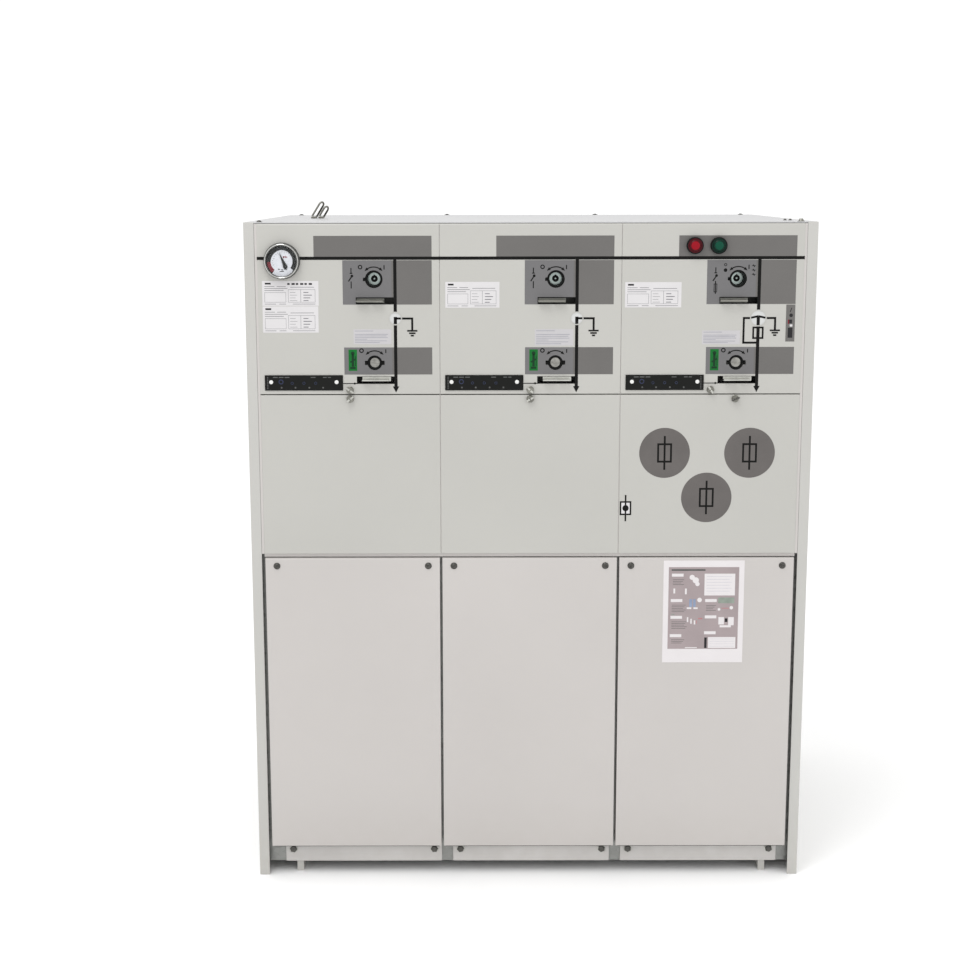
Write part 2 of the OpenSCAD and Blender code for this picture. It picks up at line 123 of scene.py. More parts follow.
def addBand(bm, x, z, back, ahead, inner, outer, start=0.0, sweep=360.0):
    # a flat ring or part of one; angles run from the right, over the top, to the left
    angle = math.radians(start)
    verts = []
    for radius, y in ((inner, back), (outer, back), (outer, ahead), (inner, ahead)):
        verts.append(bm.verts.new(Vector((x + radius * math.cos(angle), y, z
                                          + radius * math.sin(angle))) * mm))
    whole = sweep >= 360
    face = bm.faces.new(verts)
    geom = verts + list(face.edges)
    if whole:
        bmesh.ops.delete(bm, geom=[face], context="FACES_ONLY")
    else:
        geom.append(face)
    bmesh.ops.spin(bm, geom=geom, cent=Vector((x, 0, z)) * mm, axis=(0, -1, 0), angle=math.radians(sweep),
                   steps=max(6, round(sweep / 8)), use_merge=whole)


def addFrame(bm, x0, x1, z0, z1, width, back, ahead):
    # the outline of a box, drawn inwards
    addBlock(bm, x0, x1, ahead, back, z1 - width, z1)
    addBlock(bm, x0, x1, ahead, back, z0, z0 + width)
    addBlock(bm, x0, x0 + width, ahead, back, z0 + width, z1 - width)
    addBlock(bm, x1 - width, x1, ahead, back, z0 + width, z1 - width)


def addPoint(bm, x, z, back, ahead, length, half, turn):
    # a flat arrow head, its tip at (x, z); turn 0 points down, 90 to the left
    spot = placedAt(x, 0, z) @ turnedBy(turn, "Y")
    corners = ((0, 0), (half, length), (-half, length))
    verts = [bm.verts.new(spot @ (Vector((u, back, v)) * mm)) for u, v in corners]
    lifted = bmesh.ops.extrude_face_region(bm, geom=[bm.faces.new(verts)])["geom"]
    tips = [v for v in lifted if isinstance(v, bmesh.types.BMVert)]
    bmesh.ops.translate(bm, vec=Vector((0, ahead - back, 0)) * mm, verts=tips)


def roundEdges(bm, verts, size, segments):
    # rounds every edge at these corners
    edges = list(dict.fromkeys(e for v in verts for e in v.link_edges))
    bmesh.ops.bevel(bm, geom=edges, offset=size * mm, segments=segments, profile=0.5, affect="EDGES",
                    material=-1)


def pourInto(bm, part):
    # adds a small mesh to a bigger one
    mesh = bpy.data.meshes.new("part")
    part.to_mesh(mesh)
    part.free()
    bm.from_mesh(mesh)
    bpy.data.meshes.remove(mesh)


def addFilm(bm, node, box, lift):
    # a print on a CAD sheet: the part of its front face inside the box, holes and all
    x0, x1, z0, z1 = (side * mm for side in box)
    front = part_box(node)[0].y
    film = bmesh.new()
    film.from_mesh(nodes[node].data)
    bmesh.ops.remove_doubles(film, verts=film.verts, dist=0.01 * mm)
    away = [f for f in film.faces if any(v.co.y > front + 0.05 * mm for v in f.verts)]
    bmesh.ops.delete(film, geom=away, context="FACES")
    for place, outward in (((x0, 0, 0), (-1, 0, 0)), ((x1, 0, 0), (1, 0, 0)),
                           ((0, 0, z0), (0, 0, -1)), ((0, 0, z1), (0, 0, 1))):
        bmesh.ops.bisect_plane(film, geom=film.verts[:] + film.edges[:] + film.faces[:], dist=0.001 * mm,
                               plane_co=place, plane_no=outward, clear_outer=True)
    lifted = bmesh.ops.extrude_face_region(film, geom=film.faces[:])["geom"]
    tops = [v for v in lifted if isinstance(v, bmesh.types.BMVert)]
    bottoms = [v for v in film.verts if v not in set(tops)]
    bmesh.ops.translate(film, vec=(0, -lift * mm, 0), verts=tops)
    bmesh.ops.translate(film, vec=(0, 0.04 * mm, 0), verts=bottoms)
    pourInto(bm, film)


def makePiece(name, bm, finish, body="cabinet", replaced=(), sharp=34):
    bmesh.ops.remove_doubles(bm, verts=bm.verts, dist=0.005 * mm)
    bmesh.ops.recalc_face_normals(bm, faces=bm.faces)
    keepPiece(name, bm, finish, body, replaced, sharp)


def keepPiece(name, bm, finish, body, replaced, sharp):
    for face in bm.faces:
        face.smooth = True
    for edge in bm.edges:
        edge.smooth = edge.calc_face_angle(0) < math.radians(sharp)
    mesh = bpy.data.meshes.new(name)
    bm.to_mesh(mesh)
    bm.free()
    piece = bpy.data.objects.new(name, mesh)
    bpy.context.scene.collection.objects.link(piece)
    mesh.materials.append(finish)
    weighted = piece.modifiers.new("flat faces stay flat", "WEIGHTED_NORMAL")
    weighted.keep_sharp = True
    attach(piece, body)
    if replaced:
        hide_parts(*replaced)


def softened(node, name, width, finish, body="cabinet", steps=3, chosen=None, sharp=34, topWidth=0.0):
    # the CAD piece with its outer edges rounded, the one along the top of its face more if asked
    bm = bmesh.new()
    bm.from_mesh(nodes[node].data)
    bmesh.ops.remove_doubles(bm, verts=bm.verts, dist=0.01 * mm)
    bmesh.ops.dissolve_limit(bm, angle_limit=math.radians(0.5), verts=bm.verts, edges=bm.edges)
    low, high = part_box(node)

    def alongTop(edge):
        return all(v.co.z > high.z - 0.2 * mm and v.co.y < low.y + 0.2 * mm for v in edge.verts)

    def roundOff(edges, size, count):
        bmesh.ops.bevel(bm, geom=edges, offset=size * mm, offset_type="OFFSET", segments=count, profile=0.5,
                        affect="EDGES", clamp_overlap=True, material=-1)
    if topWidth:
        roundOff([e for e in bm.edges if alongTop(e)], topWidth, 5)
    edges = [e for e in bm.edges if e.is_convex and e.calc_face_angle(0) > math.radians(50)]
    if chosen:
        edges = [e for e in edges if chosen(e)]
    roundOff(edges, width, steps)
    keepPiece(name, bm, finish, body, (node,), sharp)


def dress(node, finish):
    nodes[node].data.materials.clear()
    nodes[node].data.materials.append(finish)


# finishes

def tone(red, green, blue):
    # a screen colour, 0 to 255, as the shader's own values
    def straight(level):
        level /= 255
        return level / 12.92 if level <= 0.04045 else ((level + 0.055) / 1.055) ** 2.4
    return (straight(red), straight(green), straight(blue), 1)


def newFinish(name, colour, roughness, metallic=0.0, spread=0.03, patch=6.0, grain=900.0, depth=0.004,
              stretch=(1, 1, 1), roughSpread=0.06, dirt=0.0, coat=0.0, alpha=1.0, specular=0.5):
    finish = bpy.data.materials.new(name)
    finish.use_nodes = True
    tree = finish.node_tree
    shader = tree.nodes["Principled BSDF"]
    shader.inputs["Metallic"].default_value = metallic
    shader.inputs["Coat Weight"].default_value = coat
    shader.inputs["Alpha"].default_value = alpha
    shader.inputs["Specular IOR Level"].default_value = specular
    place = tree.nodes.new("ShaderNodeTexCoord")
    mapping = tree.nodes.new("ShaderNodeMapping")
    mapping.inputs["Scale"].default_value = stretch
    tree.links.new(place.outputs["Object"], mapping.inputs["Vector"])

    # slow change of colour and gloss over the surface
    cloud = tree.nodes.new("ShaderNodeTexNoise")
    cloud.inputs["Scale"].default_value = patch
    cloud.inputs["Detail"].default_value = 5
    tree.links.new(mapping.outputs["Vector"], cloud.inputs["Vector"])
    ramp = tree.nodes.new("ShaderNodeValToRGB")
    ramp.color_ramp.elements[0].position = 0.3
    ramp.color_ramp.elements[1].position = 0.7
    ramp.color_ramp.elements[0].color = (*(c * (1 - spread) for c in colour[:3]), 1)
    ramp.color_ramp.elements[1].color = (*(min(1, c * (1 + spread)) for c in colour[:3]), 1)
    tree.links.new(cloud.outputs["Fac"], ramp.inputs["Fac"])
    gloss = tree.nodes.new("ShaderNodeMapRange")
    gloss.inputs["To Min"].default_value = max(0.02, roughness - roughSpread)
    gloss.inputs["To Max"].default_value = roughness + roughSpread
    tree.links.new(cloud.outputs["Fac"], gloss.inputs["Value"])
    tree.links.new(gloss.outputs["Result"], shader.inputs["Roughness"])

    # fine grain, peel or brushing
    fine = tree.nodes.new("ShaderNodeTexNoise")
    fine.inputs["Scale"].default_value = grain
    fine.inputs["Detail"].default_value = 3
    tree.links.new(mapping.outputs["Vector"], fine.inputs["Vector"])
    bump = tree.nodes.new("ShaderNodeBump")
    bump.inputs["Strength"].default_value = 0.5
    bump.inputs["Distance"].default_value = depth * mm
    tree.links.new(fine.outputs["Fac"], bump.inputs["Height"])
    tree.links.new(bump.outputs["Normal"], shader.inputs["Normal"])

    colourOut = ramp.outputs["Color"]
    if dirt:
        colourOut = addFloorDust(tree, place, colourOut, dirt)
    tree.links.new(colourOut, shader.inputs["Base Color"])
    return finish


def addFloorDust(tree, place, colourOut, amount):
    # a thin veil of dust that fades out above the floor
    split = tree.nodes.new("ShaderNodeSeparateXYZ")
    tree.links.new(place.outputs["Object"], split.inputs["Vector"])
    height = tree.nodes.new("ShaderNodeMapRange")
    height.inputs["From Min"].default_value = 0.0
    height.inputs["From Max"].default_value = 0.16
    height.inputs["To Min"].default_value = amount
    height.inputs["To Max"].default_value = 0.0
    tree.links.new(split.outputs["Z"], height.inputs["Value"])
    speck = tree.nodes.new("ShaderNodeTexNoise")
    speck.inputs["Scale"].default_value = 38
    speck.inputs["Detail"].default_value = 8
    tree.links.new(place.outputs["Object"], speck.inputs["Vector"])
    share = tree.nodes.new("ShaderNodeMath")
    share.operation = "MULTIPLY"
    tree.links.new(height.outputs["Result"], share.inputs[0])
    tree.links.new(speck.outputs["Fac"], share.inputs[1])
    blend = tree.nodes.new("ShaderNodeMix")
    blend.data_type = "RGBA"
    blend.inputs["B"].default_value = tone(150, 141, 128)
    tree.links.new(share.outputs["Value"], blend.inputs["Factor"])
    tree.links.new(colourOut, blend.inputs["A"])
    return blend.outputs["Result"]


def newSpangle(name, colour):
    # hot-dip zinc: flat crystals of slightly different grey
    finish = newFinish(name, colour, 0.42, metallic=0.85, spread=0.06, grain=500, depth=0.003)
    tree = finish.node_tree
    shader = tree.nodes["Principled BSDF"]
    place = tree.nodes["Texture Coordinate"]
    crystal = tree.nodes.new("ShaderNodeTexVoronoi")
    crystal.inputs["Scale"].default_value = 130
    tree.links.new(place.outputs["Object"], crystal.inputs["Vector"])
    grey = tree.nodes.new("ShaderNodeRGBToBW")
    tree.links.new(crystal.outputs["Color"], grey.inputs["Color"])
    shade = tree.nodes.new("ShaderNodeMapRange")
    shade.inputs["To Min"].default_value = 0.32
    shade.inputs["To Max"].default_value = 0.55
    tree.links.new(grey.outputs["Val"], shade.inputs["Value"])
    tree.links.new(shade.outputs["Result"], shader.inputs["Roughness"])
    blend = tree.nodes.new("ShaderNodeMix")
    blend.data_type = "RGBA"
    blend.blend_type = "MULTIPLY"
    blend.inputs["Factor"].default_value = 0.3
    base = shader.inputs["Base Color"].links[0].from_socket
    tree.links.new(base, blend.inputs["A"])
    tree.links.new(grey.outputs["Val"], blend.inputs["B"])
    tree.links.new(blend.outputs["Result"], shader.inputs["Base Color"])
    return finish


# the fine grain of each kind of surface
paintGrain = {"grain": 650, "depth": 0.012}
inkGrain = {"grain": 1300, "depth": 0.002}
printGrain = {"grain": 1300, "depth": 0.005}
plasticGrain = {"grain": 1200, "depth": 0.004}
paperGrain = {"grain": 1600, "depth": 0.006}

panelPaint = newFinish("panel paint", tone(177, 176, 171), 0.42, spread=0.022, patch=3.2, **paintGrain)
coverPaint = newFinish("cover paint", tone(185, 181, 178), 0.42, spread=0.022, patch=3.2, dirt=0.22,
                       **paintGrain)
sidePaint = newFinish("side paint", tone(181, 180, 176), 0.40, spread=0.022, patch=2.6, dirt=0.25,
                      **paintGrain)
roofPaint = newFinish("roof paint", tone(176, 176, 177), 0.38, spread=0.02, patch=2.2, **paintGrain)
stripPaint = newFinish("strip paint", tone(197, 195, 193), 0.45, spread=0.05, patch=9, dirt=0.4, **paintGrain)
galvanised = newSpangle("galvanised steel", tone(150, 151, 148))
stainless = newFinish("brushed stainless steel", tone(182, 181, 178), 0.32, metallic=1, spread=0.05, patch=4,
                      grain=240, depth=0.004, stretch=(1, 1, 14))
polished = newFinish("polished steel", tone(181, 181, 178), 0.16, metallic=1, spread=0.1, patch=70, grain=900,
                     depth=0.001, roughSpread=0.05)
turnedSteel = newFinish("turned steel", tone(170, 182, 178), 0.34, metallic=0.9, spread=0.16, patch=110,
                        grain=1500, depth=0.003, roughSpread=0.1)
zinc = newFinish("bright zinc", tone(190, 190, 184), 0.33, metallic=0.9, spread=0.14, patch=45, grain=500,
                 depth=0.003, stretch=(1, 1, 6))
facedSteel = newFinish("faced steel", tone(150, 149, 144), 0.3, metallic=1, spread=0.3, patch=95, grain=1500,
                       depth=0.002, roughSpread=0.1)
shadeBlack = newFinish("painted shade black", tone(40, 40, 39), 0.7, spread=0.1, patch=40, grain=900, depth=0.01,
                        specular=0.2)
dullZinc = newFinish("dull zinc", tone(136, 135, 129), 0.4, metallic=0.85, spread=0.2, patch=60, grain=500,
                     depth=0.003, stretch=(1, 1, 6))
darkSteel = newFinish("blackened steel", tone(84, 84, 82), 0.45, metallic=0.7, spread=0.14, patch=60,
                      grain=600, depth=0.01)
boltSteel = newFinish("bolt steel", tone(82, 81, 78), 0.32, metallic=0.9, spread=0.3, patch=170, grain=900,
                      depth=0.006)
wireSteel = newFinish("wire steel", tone(128, 127, 120), 0.36, metallic=0.85, spread=0.25, patch=70,
                      grain=700, depth=0.006)
slotSteel = newFinish("slot steel", tone(112, 112, 107), 0.42, metallic=0.8, spread=0.22, patch=60, grain=500,
                      depth=0.003, stretch=(1, 1, 6))
resin = newFinish("cast resin", tone(122, 60, 44), 0.3, spread=0.05, patch=12, grain=500, depth=0.006,
                  coat=0.2)
blackPlastic = newFinish("black plastic", tone(9, 10, 10), 0.5, spread=0.12, patch=25, grain=1400,
                         depth=0.012, specular=0.12)
plateBlack = newFinish("plate black", tone(16, 17, 15), 0.4, spread=0.15, patch=22, grain=1100, depth=0.006,
                       specular=0.16)
whitePlastic = newFinish("white plastic", tone(218, 218, 216), 0.4, spread=0.02, patch=20, grain=1200,
                         depth=0.006)
windowWhite = newFinish("window white", tone(196, 197, 196), 0.45, spread=0.03, patch=45, specular=0.2,
                        **plasticGrain)
dialWhite = newFinish("dial white", tone(204, 206, 212), 0.5, spread=0.03, patch=50, specular=0.3,
                      **plasticGrain)
redPlastic = newFinish("red plastic", tone(138, 5, 24), 0.3, spread=0.06, patch=40, specular=0.16,
                       **plasticGrain)
darkRed = newFinish("dark red plastic", tone(72, 8, 17), 0.35, spread=0.08, patch=40, grain=1200, depth=0.005,
                    specular=0.16)
greenPlastic = newFinish("green plastic", tone(2, 68, 50), 0.3, spread=0.06, patch=40, specular=0.16,
                         **plasticGrain)
darkGreen = newFinish("dark green plastic", tone(3, 37, 28), 0.35, spread=0.08, patch=40, grain=1200,
                      depth=0.005, specular=0.16)
greyPrint = newFinish("grey print", tone(99, 97, 95), 0.48, spread=0.03, patch=14, specular=0.35,
                      **printGrain)
knobPrint = newFinish("knob field print", tone(104, 103, 104), 0.48, spread=0.03, patch=14, specular=0.35,
                      **printGrain)
discPrint = newFinish("disc print", tone(93, 89, 87), 0.46, spread=0.06, patch=26, specular=0.35,
                      **printGrain)
blackPrint = newFinish("black print", tone(14, 14, 13), 0.45, spread=0.12, patch=18, grain=1300, depth=0.004,
                       specular=0.12)
greyInk = newFinish("grey ink", tone(104, 103, 108), 0.6, spread=0.1, patch=60, specular=0.3, **inkGrain)
paleInk = newFinish("pale ink", tone(146, 146, 154), 0.6, spread=0.1, patch=60, specular=0.3, **inkGrain)
faintInk = newFinish("faint ink", tone(84, 85, 84), 0.6, spread=0.15, patch=60, specular=0.2, **inkGrain)
darkInk = newFinish("dark ink", tone(38, 37, 39), 0.6, spread=0.1, patch=60, specular=0.2, **inkGrain)
stickerPaper = newFinish("sticker paper", tone(203, 201, 202), 0.5, spread=0.015, patch=30, **paperGrain)
labelPaper = newFinish("label paper", tone(182, 180, 182), 0.55, spread=0.02, patch=30, **paperGrain)
posterPaper = newFinish("poster paper", tone(211, 207, 208), 0.46, spread=0.015, patch=18, **paperGrain)
posterPrint = newFinish("poster print", tone(152, 140, 141), 0.5, spread=0.07, patch=16, grain=1600,
                        depth=0.004)
blueInk = newFinish("blue ink", tone(128, 142, 168), 0.5, spread=0.1, patch=60, **inkGrain)
socketInk = newFinish("socket ink", tone(40, 48, 76), 0.45, spread=0.1, patch=60, specular=0.3, **inkGrain)
sageInk = newFinish("sage ink", tone(128, 138, 128), 0.5, spread=0.15, patch=90, **inkGrain)
paperInk = newFinish("paper ink", tone(182, 180, 188), 0.5, spread=0.1, patch=90, **inkGrain)
roseInk = newFinish("rose ink", tone(170, 112, 116), 0.5, spread=0.1, patch=60, **inkGrain)
greenLabel = newFinish("green label print", tone(10, 100, 38), 0.42, spread=0.1, patch=60, specular=0.2,
                       **printGrain)
greenInk = newFinish("dark green ink", tone(8, 48, 24), 0.45, spread=0.08, patch=60, grain=1300, depth=0.003,
                     specular=0.2)
redInk = newFinish("red ink", tone(112, 14, 30), 0.5, spread=0.1, patch=60, specular=0.2, **inkGrain)
clearGlass = newFinish("clear glass", tone(236, 242, 242), 0.04, spread=0.01, patch=20, grain=300,
                       depth=0.0005, roughSpread=0.01, alpha=0.02, specular=0.12)
print("finishes made")


# camera, light and floor

view = {"lens": 61.575, "x": -94.0, "ahead": 3072.0, "height": 1345.4, "pitch": 10.15, "roll": 0.084}
keyLight = {"x": -900, "ahead": 1500, "height": 4000, "size": 1500, "power": 40.0}
fillLight = {"x": 2100, "ahead": 2300, "height": 1500, "size": 2200, "power": 5.0}
surround = {"strength": 1.1}

cameraData = bpy.data.cameras.new("camera")
cameraData.lens = view["lens"]
cameraData.sensor_width = 36
cameraData.clip_end = 100
camera = bpy.data.objects.new("camera", cameraData)
camera.location = Vector((view["x"], faceY - view["ahead"], view["height"])) * mm
camera.rotation_euler = (math.radians(90 - view["pitch"]), math.radians(view["roll"]), 0)
bpy.context.scene.collection.objects.link(camera)
bpy.context.scene.camera = camera


def addLight(name, look, target):
    data = bpy.data.lights.new(name, "AREA")
    data.shape = "DISK"
    data.size = look["size"] * mm
    data.energy = look["power"]
    lamp = bpy.data.objects.new(name, data)
    lamp.location = Vector((look["x"], faceY - look["ahead"], look["height"])) * mm
    lamp.rotation_euler = (target - lamp.location).to_track_quat("-Z", "Y").to_euler()
    bpy.context.scene.collection.objects.link(lamp)


cabinetMiddle = (cadBounds[0] + cadBounds[1]) / 2
addLight("key light", keyLight, cabinetMiddle)
addLight("fill light", fillLight, cabinetMiddle)
world = bpy.data.worlds.new("studio")
world.use_nodes = True
world.node_tree.nodes["Background"].inputs["Color"].default_value = (1, 1, 1, 1)
world.node_tree.nodes["Background"].inputs["Strength"].default_value = surround["strength"]
bpy.context.scene.world = world
bpy.context.scene.view_settings.view_transform = "Standard"

floorMesh = bmesh.new()
bmesh.ops.create_grid(floorMesh, x_segments=1, y_segments=1, size=9)
floorData = bpy.data.meshes.new("floor")
floorMesh.to_mesh(floorData)
floorMesh.free()
floor = bpy.data.objects.new("floor", floorData)
bpy.context.scene.collection.objects.link(floor)
floorData.materials.append(newFinish("pale floor", tone(254, 254, 254), 0.8, spread=0.001, patch=1.2,
                                     grain=60, depth=0.01))
print("camera, light and floor made")


# sheet metal: the CAD pieces with folded edges rounded

fold = {"cover": 0.9, "coverTop": 3.0, "side": 2.2, "roof": 1.4, "strip": 0.8, "rail": 1.2}


def atFront(node, depth):
    # picks the edges of a folded cover that show: round its face, and back along its corners
    low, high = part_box(node)
    slack = 0.2 * mm

    def chosen(edge):
        ends = [v.co for v in edge.verts]
        onRim = all(abs(p.x - low.x) < slack or abs(p.x - high.x) < slack or abs(p.z - low.z) < slack
                    or abs(p.z - high.z) < slack for p in ends)
        return onRim and any(p.y < low.y + depth * mm for p in ends)
    return chosen


for i in modules:
    for kind, paint in (("upper_panel", panelPaint), ("middle_cover", panelPaint),
                        ("cable_cover", coverPaint)):
        name = f"{kind}_{i}"
        softened(name, f"{name}_sheet", fold["cover"], paint, chosen=atFront(name, 1),
                 topWidth=fold["coverTop"] if kind != "middle_cover" else 0)
for side in ("left", "right"):
    softened(f"side_plate_{side}", f"side_plate_{side}_sheet", fold["side"], sidePaint,
             steps=4)
softened("roof_plate", "roof_plate_sheet", fold["roof"], roofPaint, steps=2)
softened("rear_cover", "rear_cover_sheet", fold["strip"], coverPaint, steps=2)
softened("base_strips", "base_strips_sheet", fold["strip"], stripPaint, steps=2)
softened("floor_runners", "floor_runners_bars", fold["rail"], sidePaint, steps=2)
# painted strips in the joints: beside the two upper rows, between the modules, and over the cable covers
joint = {"side": 4.6, "sideSet": 0.5, "deep": 6.0, "width": 0.9, "set": 1.3, "rowSet": 3.0, "rowFoot": 1.8,
         "rowHead": 0.4, "lowShade": 1.6}
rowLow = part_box("middle_cover_1")[0].z / mm
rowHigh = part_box("upper_panel_1")[1].z / mm
leftX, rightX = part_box("upper_panel_1")[0].x / mm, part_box("upper_panel_3")[1].x / mm
cableLow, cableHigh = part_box("cable_cover_1")[0].z / mm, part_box("cable_cover_1")[1].z / mm
bm = bmesh.new()
addBlock(bm, leftX - joint["side"], leftX, faceY + joint["sideSet"], faceY + joint["deep"], rowLow, rowHigh)
addBlock(bm, rightX, rightX + joint["side"], faceY + joint["sideSet"], faceY + joint["deep"], rowLow, rowHigh)
for i in (1, 2):
    x = (moduleX[i] + moduleX[i + 1]) / 2
    addBlock(bm, x - joint["width"] / 2, x + joint["width"] / 2, faceY + joint["set"], faceY + joint["deep"],
             rowLow, rowHigh)
addBlock(bm, leftX, rightX, faceY + joint["rowSet"], faceY + joint["deep"], cableHigh + joint["rowFoot"],
         rowLow - joint["rowHead"])
makePiece("joint_strips", bm, coverPaint)
# a black strip under each cable cover's lower edge: painted shade for the shadow line between the cover and
# the base strip
bm = bmesh.new()
for i in modules:
    low, high = (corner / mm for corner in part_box(f"cable_cover_{i}"))
    addBlock(bm, low.x + 4, high.x - 4, cableY + 2, cableY + 14, cableLow - joint["lowShade"], cableLow)
makePiece("cable_cover_shade_strips", bm, shadeBlack)
dress("base_frame", galvanised)
dress("front_frame", galvanised)
dress("partitions", galvanised)
dress("gas_tank", stainless)
dress("tank_top", stainless)
dress("cable_bushings", resin)
for i in modules:
    dress(f"operating_mechanism_{i}", darkSteel)
print("sheet metal made")


# grey fields behind the operating places; x is counted from a module's middle, z from the floor

fields = {"lift": 0.10, "bus": (-64, 155, 1216, 1255), "upper": (-11, 155, 1128, 1210),
          "lower": (-10, 155, 997, 1048), "knobEdge": 80, "knobLift": 0.14, "stem": (138, 155, 1058, 1127)}


for i in modules:
    x = moduleX[i]
    bm = bmesh.new()
    for key in ("bus", "upper", "lower") + (("stem",) if i == fuseModule else ()):
        x0, x1, z0, z1 = fields[key]
        addFilm(bm, f"upper_panel_{i}", (x + x0, x + x1, z0, z1), fields["lift"])
    makePiece(f"grey_fields_{i}", bm, greyPrint)
    bm = bmesh.new()
    for key in ("upper", "lower"):
        x0, x1, z0, z1 = fields[key]
        addFilm(bm, f"upper_panel_{i}", (x + x0, x + fields["knobEdge"], z0, z1), fields["knobLift"])
    makePiece(f"knob_fields_{i}", bm, knobPrint)
print("grey fields made")


# main circuit drawn over the panels

bus = {"z": 1213.8, "width": 5.8, "lift": 0.24}
line = {"x": 86.5, "width": 6.0, "foot": 974.0, "arrowLength": 11.0, "arrowHalf": 6.0, "thin": 3.8}
earth = {"x": 118.0, "top": 1102.0, "foot": 1079.0, "bars": (19, 12, 6), "pitch": 4.5, "barHeight": 3.0}
bypass = {"x": 59.5, "foot": 1056.0}
fuseBox = {"half": 10.5, "z0": 1063.0, "z1": 1086.0, "width": 3.3}
windowZ = 1102.0
windowRadius = {1: 12.0, 2: 12.0, 3: 15.0}
windowRim = {"inner": 1.2, "outer": 0.6}

for i in modules:
    x = moduleX[i]
    low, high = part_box(f"upper_panel_{i}")
    back, ahead = faceY + 0.05, faceY - bus["lift"]
    bm = bmesh.new()
    addBlock(bm, low.x / mm - 0.5, high.x / mm + 0.5, ahead, back, bus["z"] - bus["width"] / 2,
             bus["z"] + bus["width"] / 2)
    lineX = x + line["x"]
    half = line["width"] / 2
    radius = windowRadius[i]
    addBlock(bm, lineX - half, lineX + half, ahead - 0.02, back, windowZ + radius, bus["z"])
    addBlock(bm, lineX - half, lineX + half, ahead - 0.02, back, line["foot"], windowZ - radius)
    addPoint(bm, lineX, line["foot"] - line["arrowLength"], back, ahead - 0.02, line["arrowLength"] + 0.5,
             line["arrowHalf"], 0)
    earthX = x + earth["x"]
    thin = line["thin"]
    addBlock(bm, lineX + radius, earthX + thin / 2, ahead, back, earth["top"] - thin / 2,
             earth["top"] + thin / 2)
    addBlock(bm, earthX - thin / 2, earthX + thin / 2, ahead, back, earth["foot"], earth["top"] - thin / 2)
    for row, width in enumerate(earth["bars"]):
        z = earth["foot"] - row * earth["pitch"]
        addBlock(bm, earthX - width / 2, earthX + width / 2, ahead - 0.02, back, z - earth["barHeight"] / 2,
                 z + earth["barHeight"] / 2)
    if i == fuseModule:
        leftX = x + bypass["x"]
        addBlock(bm, leftX - thin / 2, lineX - radius, ahead, back, windowZ - thin / 2, windowZ + thin / 2)
        addBlock(bm, leftX - thin / 2, leftX + thin / 2, ahead, back, bypass["foot"], windowZ - thin / 2)
        addBlock(bm, leftX - thin / 2, lineX - half, ahead, back, bypass["foot"] - thin / 2,
                 bypass["foot"] + thin / 2)
        addFrame(bm, lineX - fuseBox["half"], lineX + fuseBox["half"], fuseBox["z0"], fuseBox["z1"],
                 fuseBox["width"], back, ahead + 0.04)
    makePiece(f"circuit_lines_{i}", bm, blackPrint)
print("circuit lines made")


# position windows: a white disc with its own piece of the circuit

softened("position_indicators", "position_indicator_discs", 0.3, windowWhite, steps=1)
for i in modules:
    x = moduleX[i] + line["x"]
    radius = windowRadius[i] - 0.6
    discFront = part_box("position_indicators")[0].y / mm
    back, ahead = discFront + 0.05, discFront - 0.15
    half = line["width"] / 2
    bm = bmesh.new()
    addBlock(bm, x - half, x + half, ahead, back, windowZ - radius + 1, windowZ + 3)
    if i == fuseModule:
        for side in (-1, 1):
            addStroke(bm, x, windowZ + 3.4, x + side * (radius - 1), windowZ + 0.5, line["thin"], back,
                      ahead + 0.03)
    else:
        addBlock(bm, x, x + radius - 1, ahead, back, windowZ - line["thin"] / 2, windowZ + line["thin"] / 2)
    makePiece(f"window_mark_{i}", bm, blackPrint)
bm = bmesh.new()
for i in modules:
    radius = windowRadius[i]
    addBand(bm, moduleX[i] + line["x"], windowZ, faceY + 0.05, faceY - 0.3, radius - windowRim["inner"],
            radius + windowRim["outer"])
makePiece("window_rims", bm, panelPaint)
print("position windows made")


# marks round the lever holes

mark = {"lift": 0.2, "stroke": 1.9, "arcRadius": 22.6, "arcWidth": 2.1, "from": 48, "to": 132, "head": 7.0,
        "headHalf": 2.9, "lug": 5.0}
letters = {"offX": -25.0, "offZ": 22.5, "onX": 19.5, "onZ": 22.0, "ring": 4.2, "ringWidth": 1.9,
           "height": 8.0}
lowerLetters = {"offX": -24.5, "offZ": 23.0, "onX": 21.0, "onZ": 22.0, "ring": 4.4, "ringWidth": 2.0,
                "height": 7.0}
greenTag = {"x0": -2.0, "x1": 14.0, "z0": 1004.0, "z1": 1044.0, "lift": 0.16}
fuseMarks = {"x": -24.0, "dotZ": 16.0, "dot": 3.4, "ringZ": 26.0, "ring": (1.6, 2.8), "signX": 28.5,
             "signZ": (24, 16, 8)}
notchShade = {"upperReach": 16.6, "lowerReach": 14.1, "out": 3.6, "in": 0.2}
tagDrawing = {"half": 5.0, "dot": (1037, 3.4), "bar": (2.2, 1012, 1035), "slant": (1020, 1026, 3.0),
              "foot": (1007.5, 1011.5), "side": (1013, 1032, 1.4)}
switchSign = {"x": 5.0, "top": 1196.0, "foot": 1158.0}


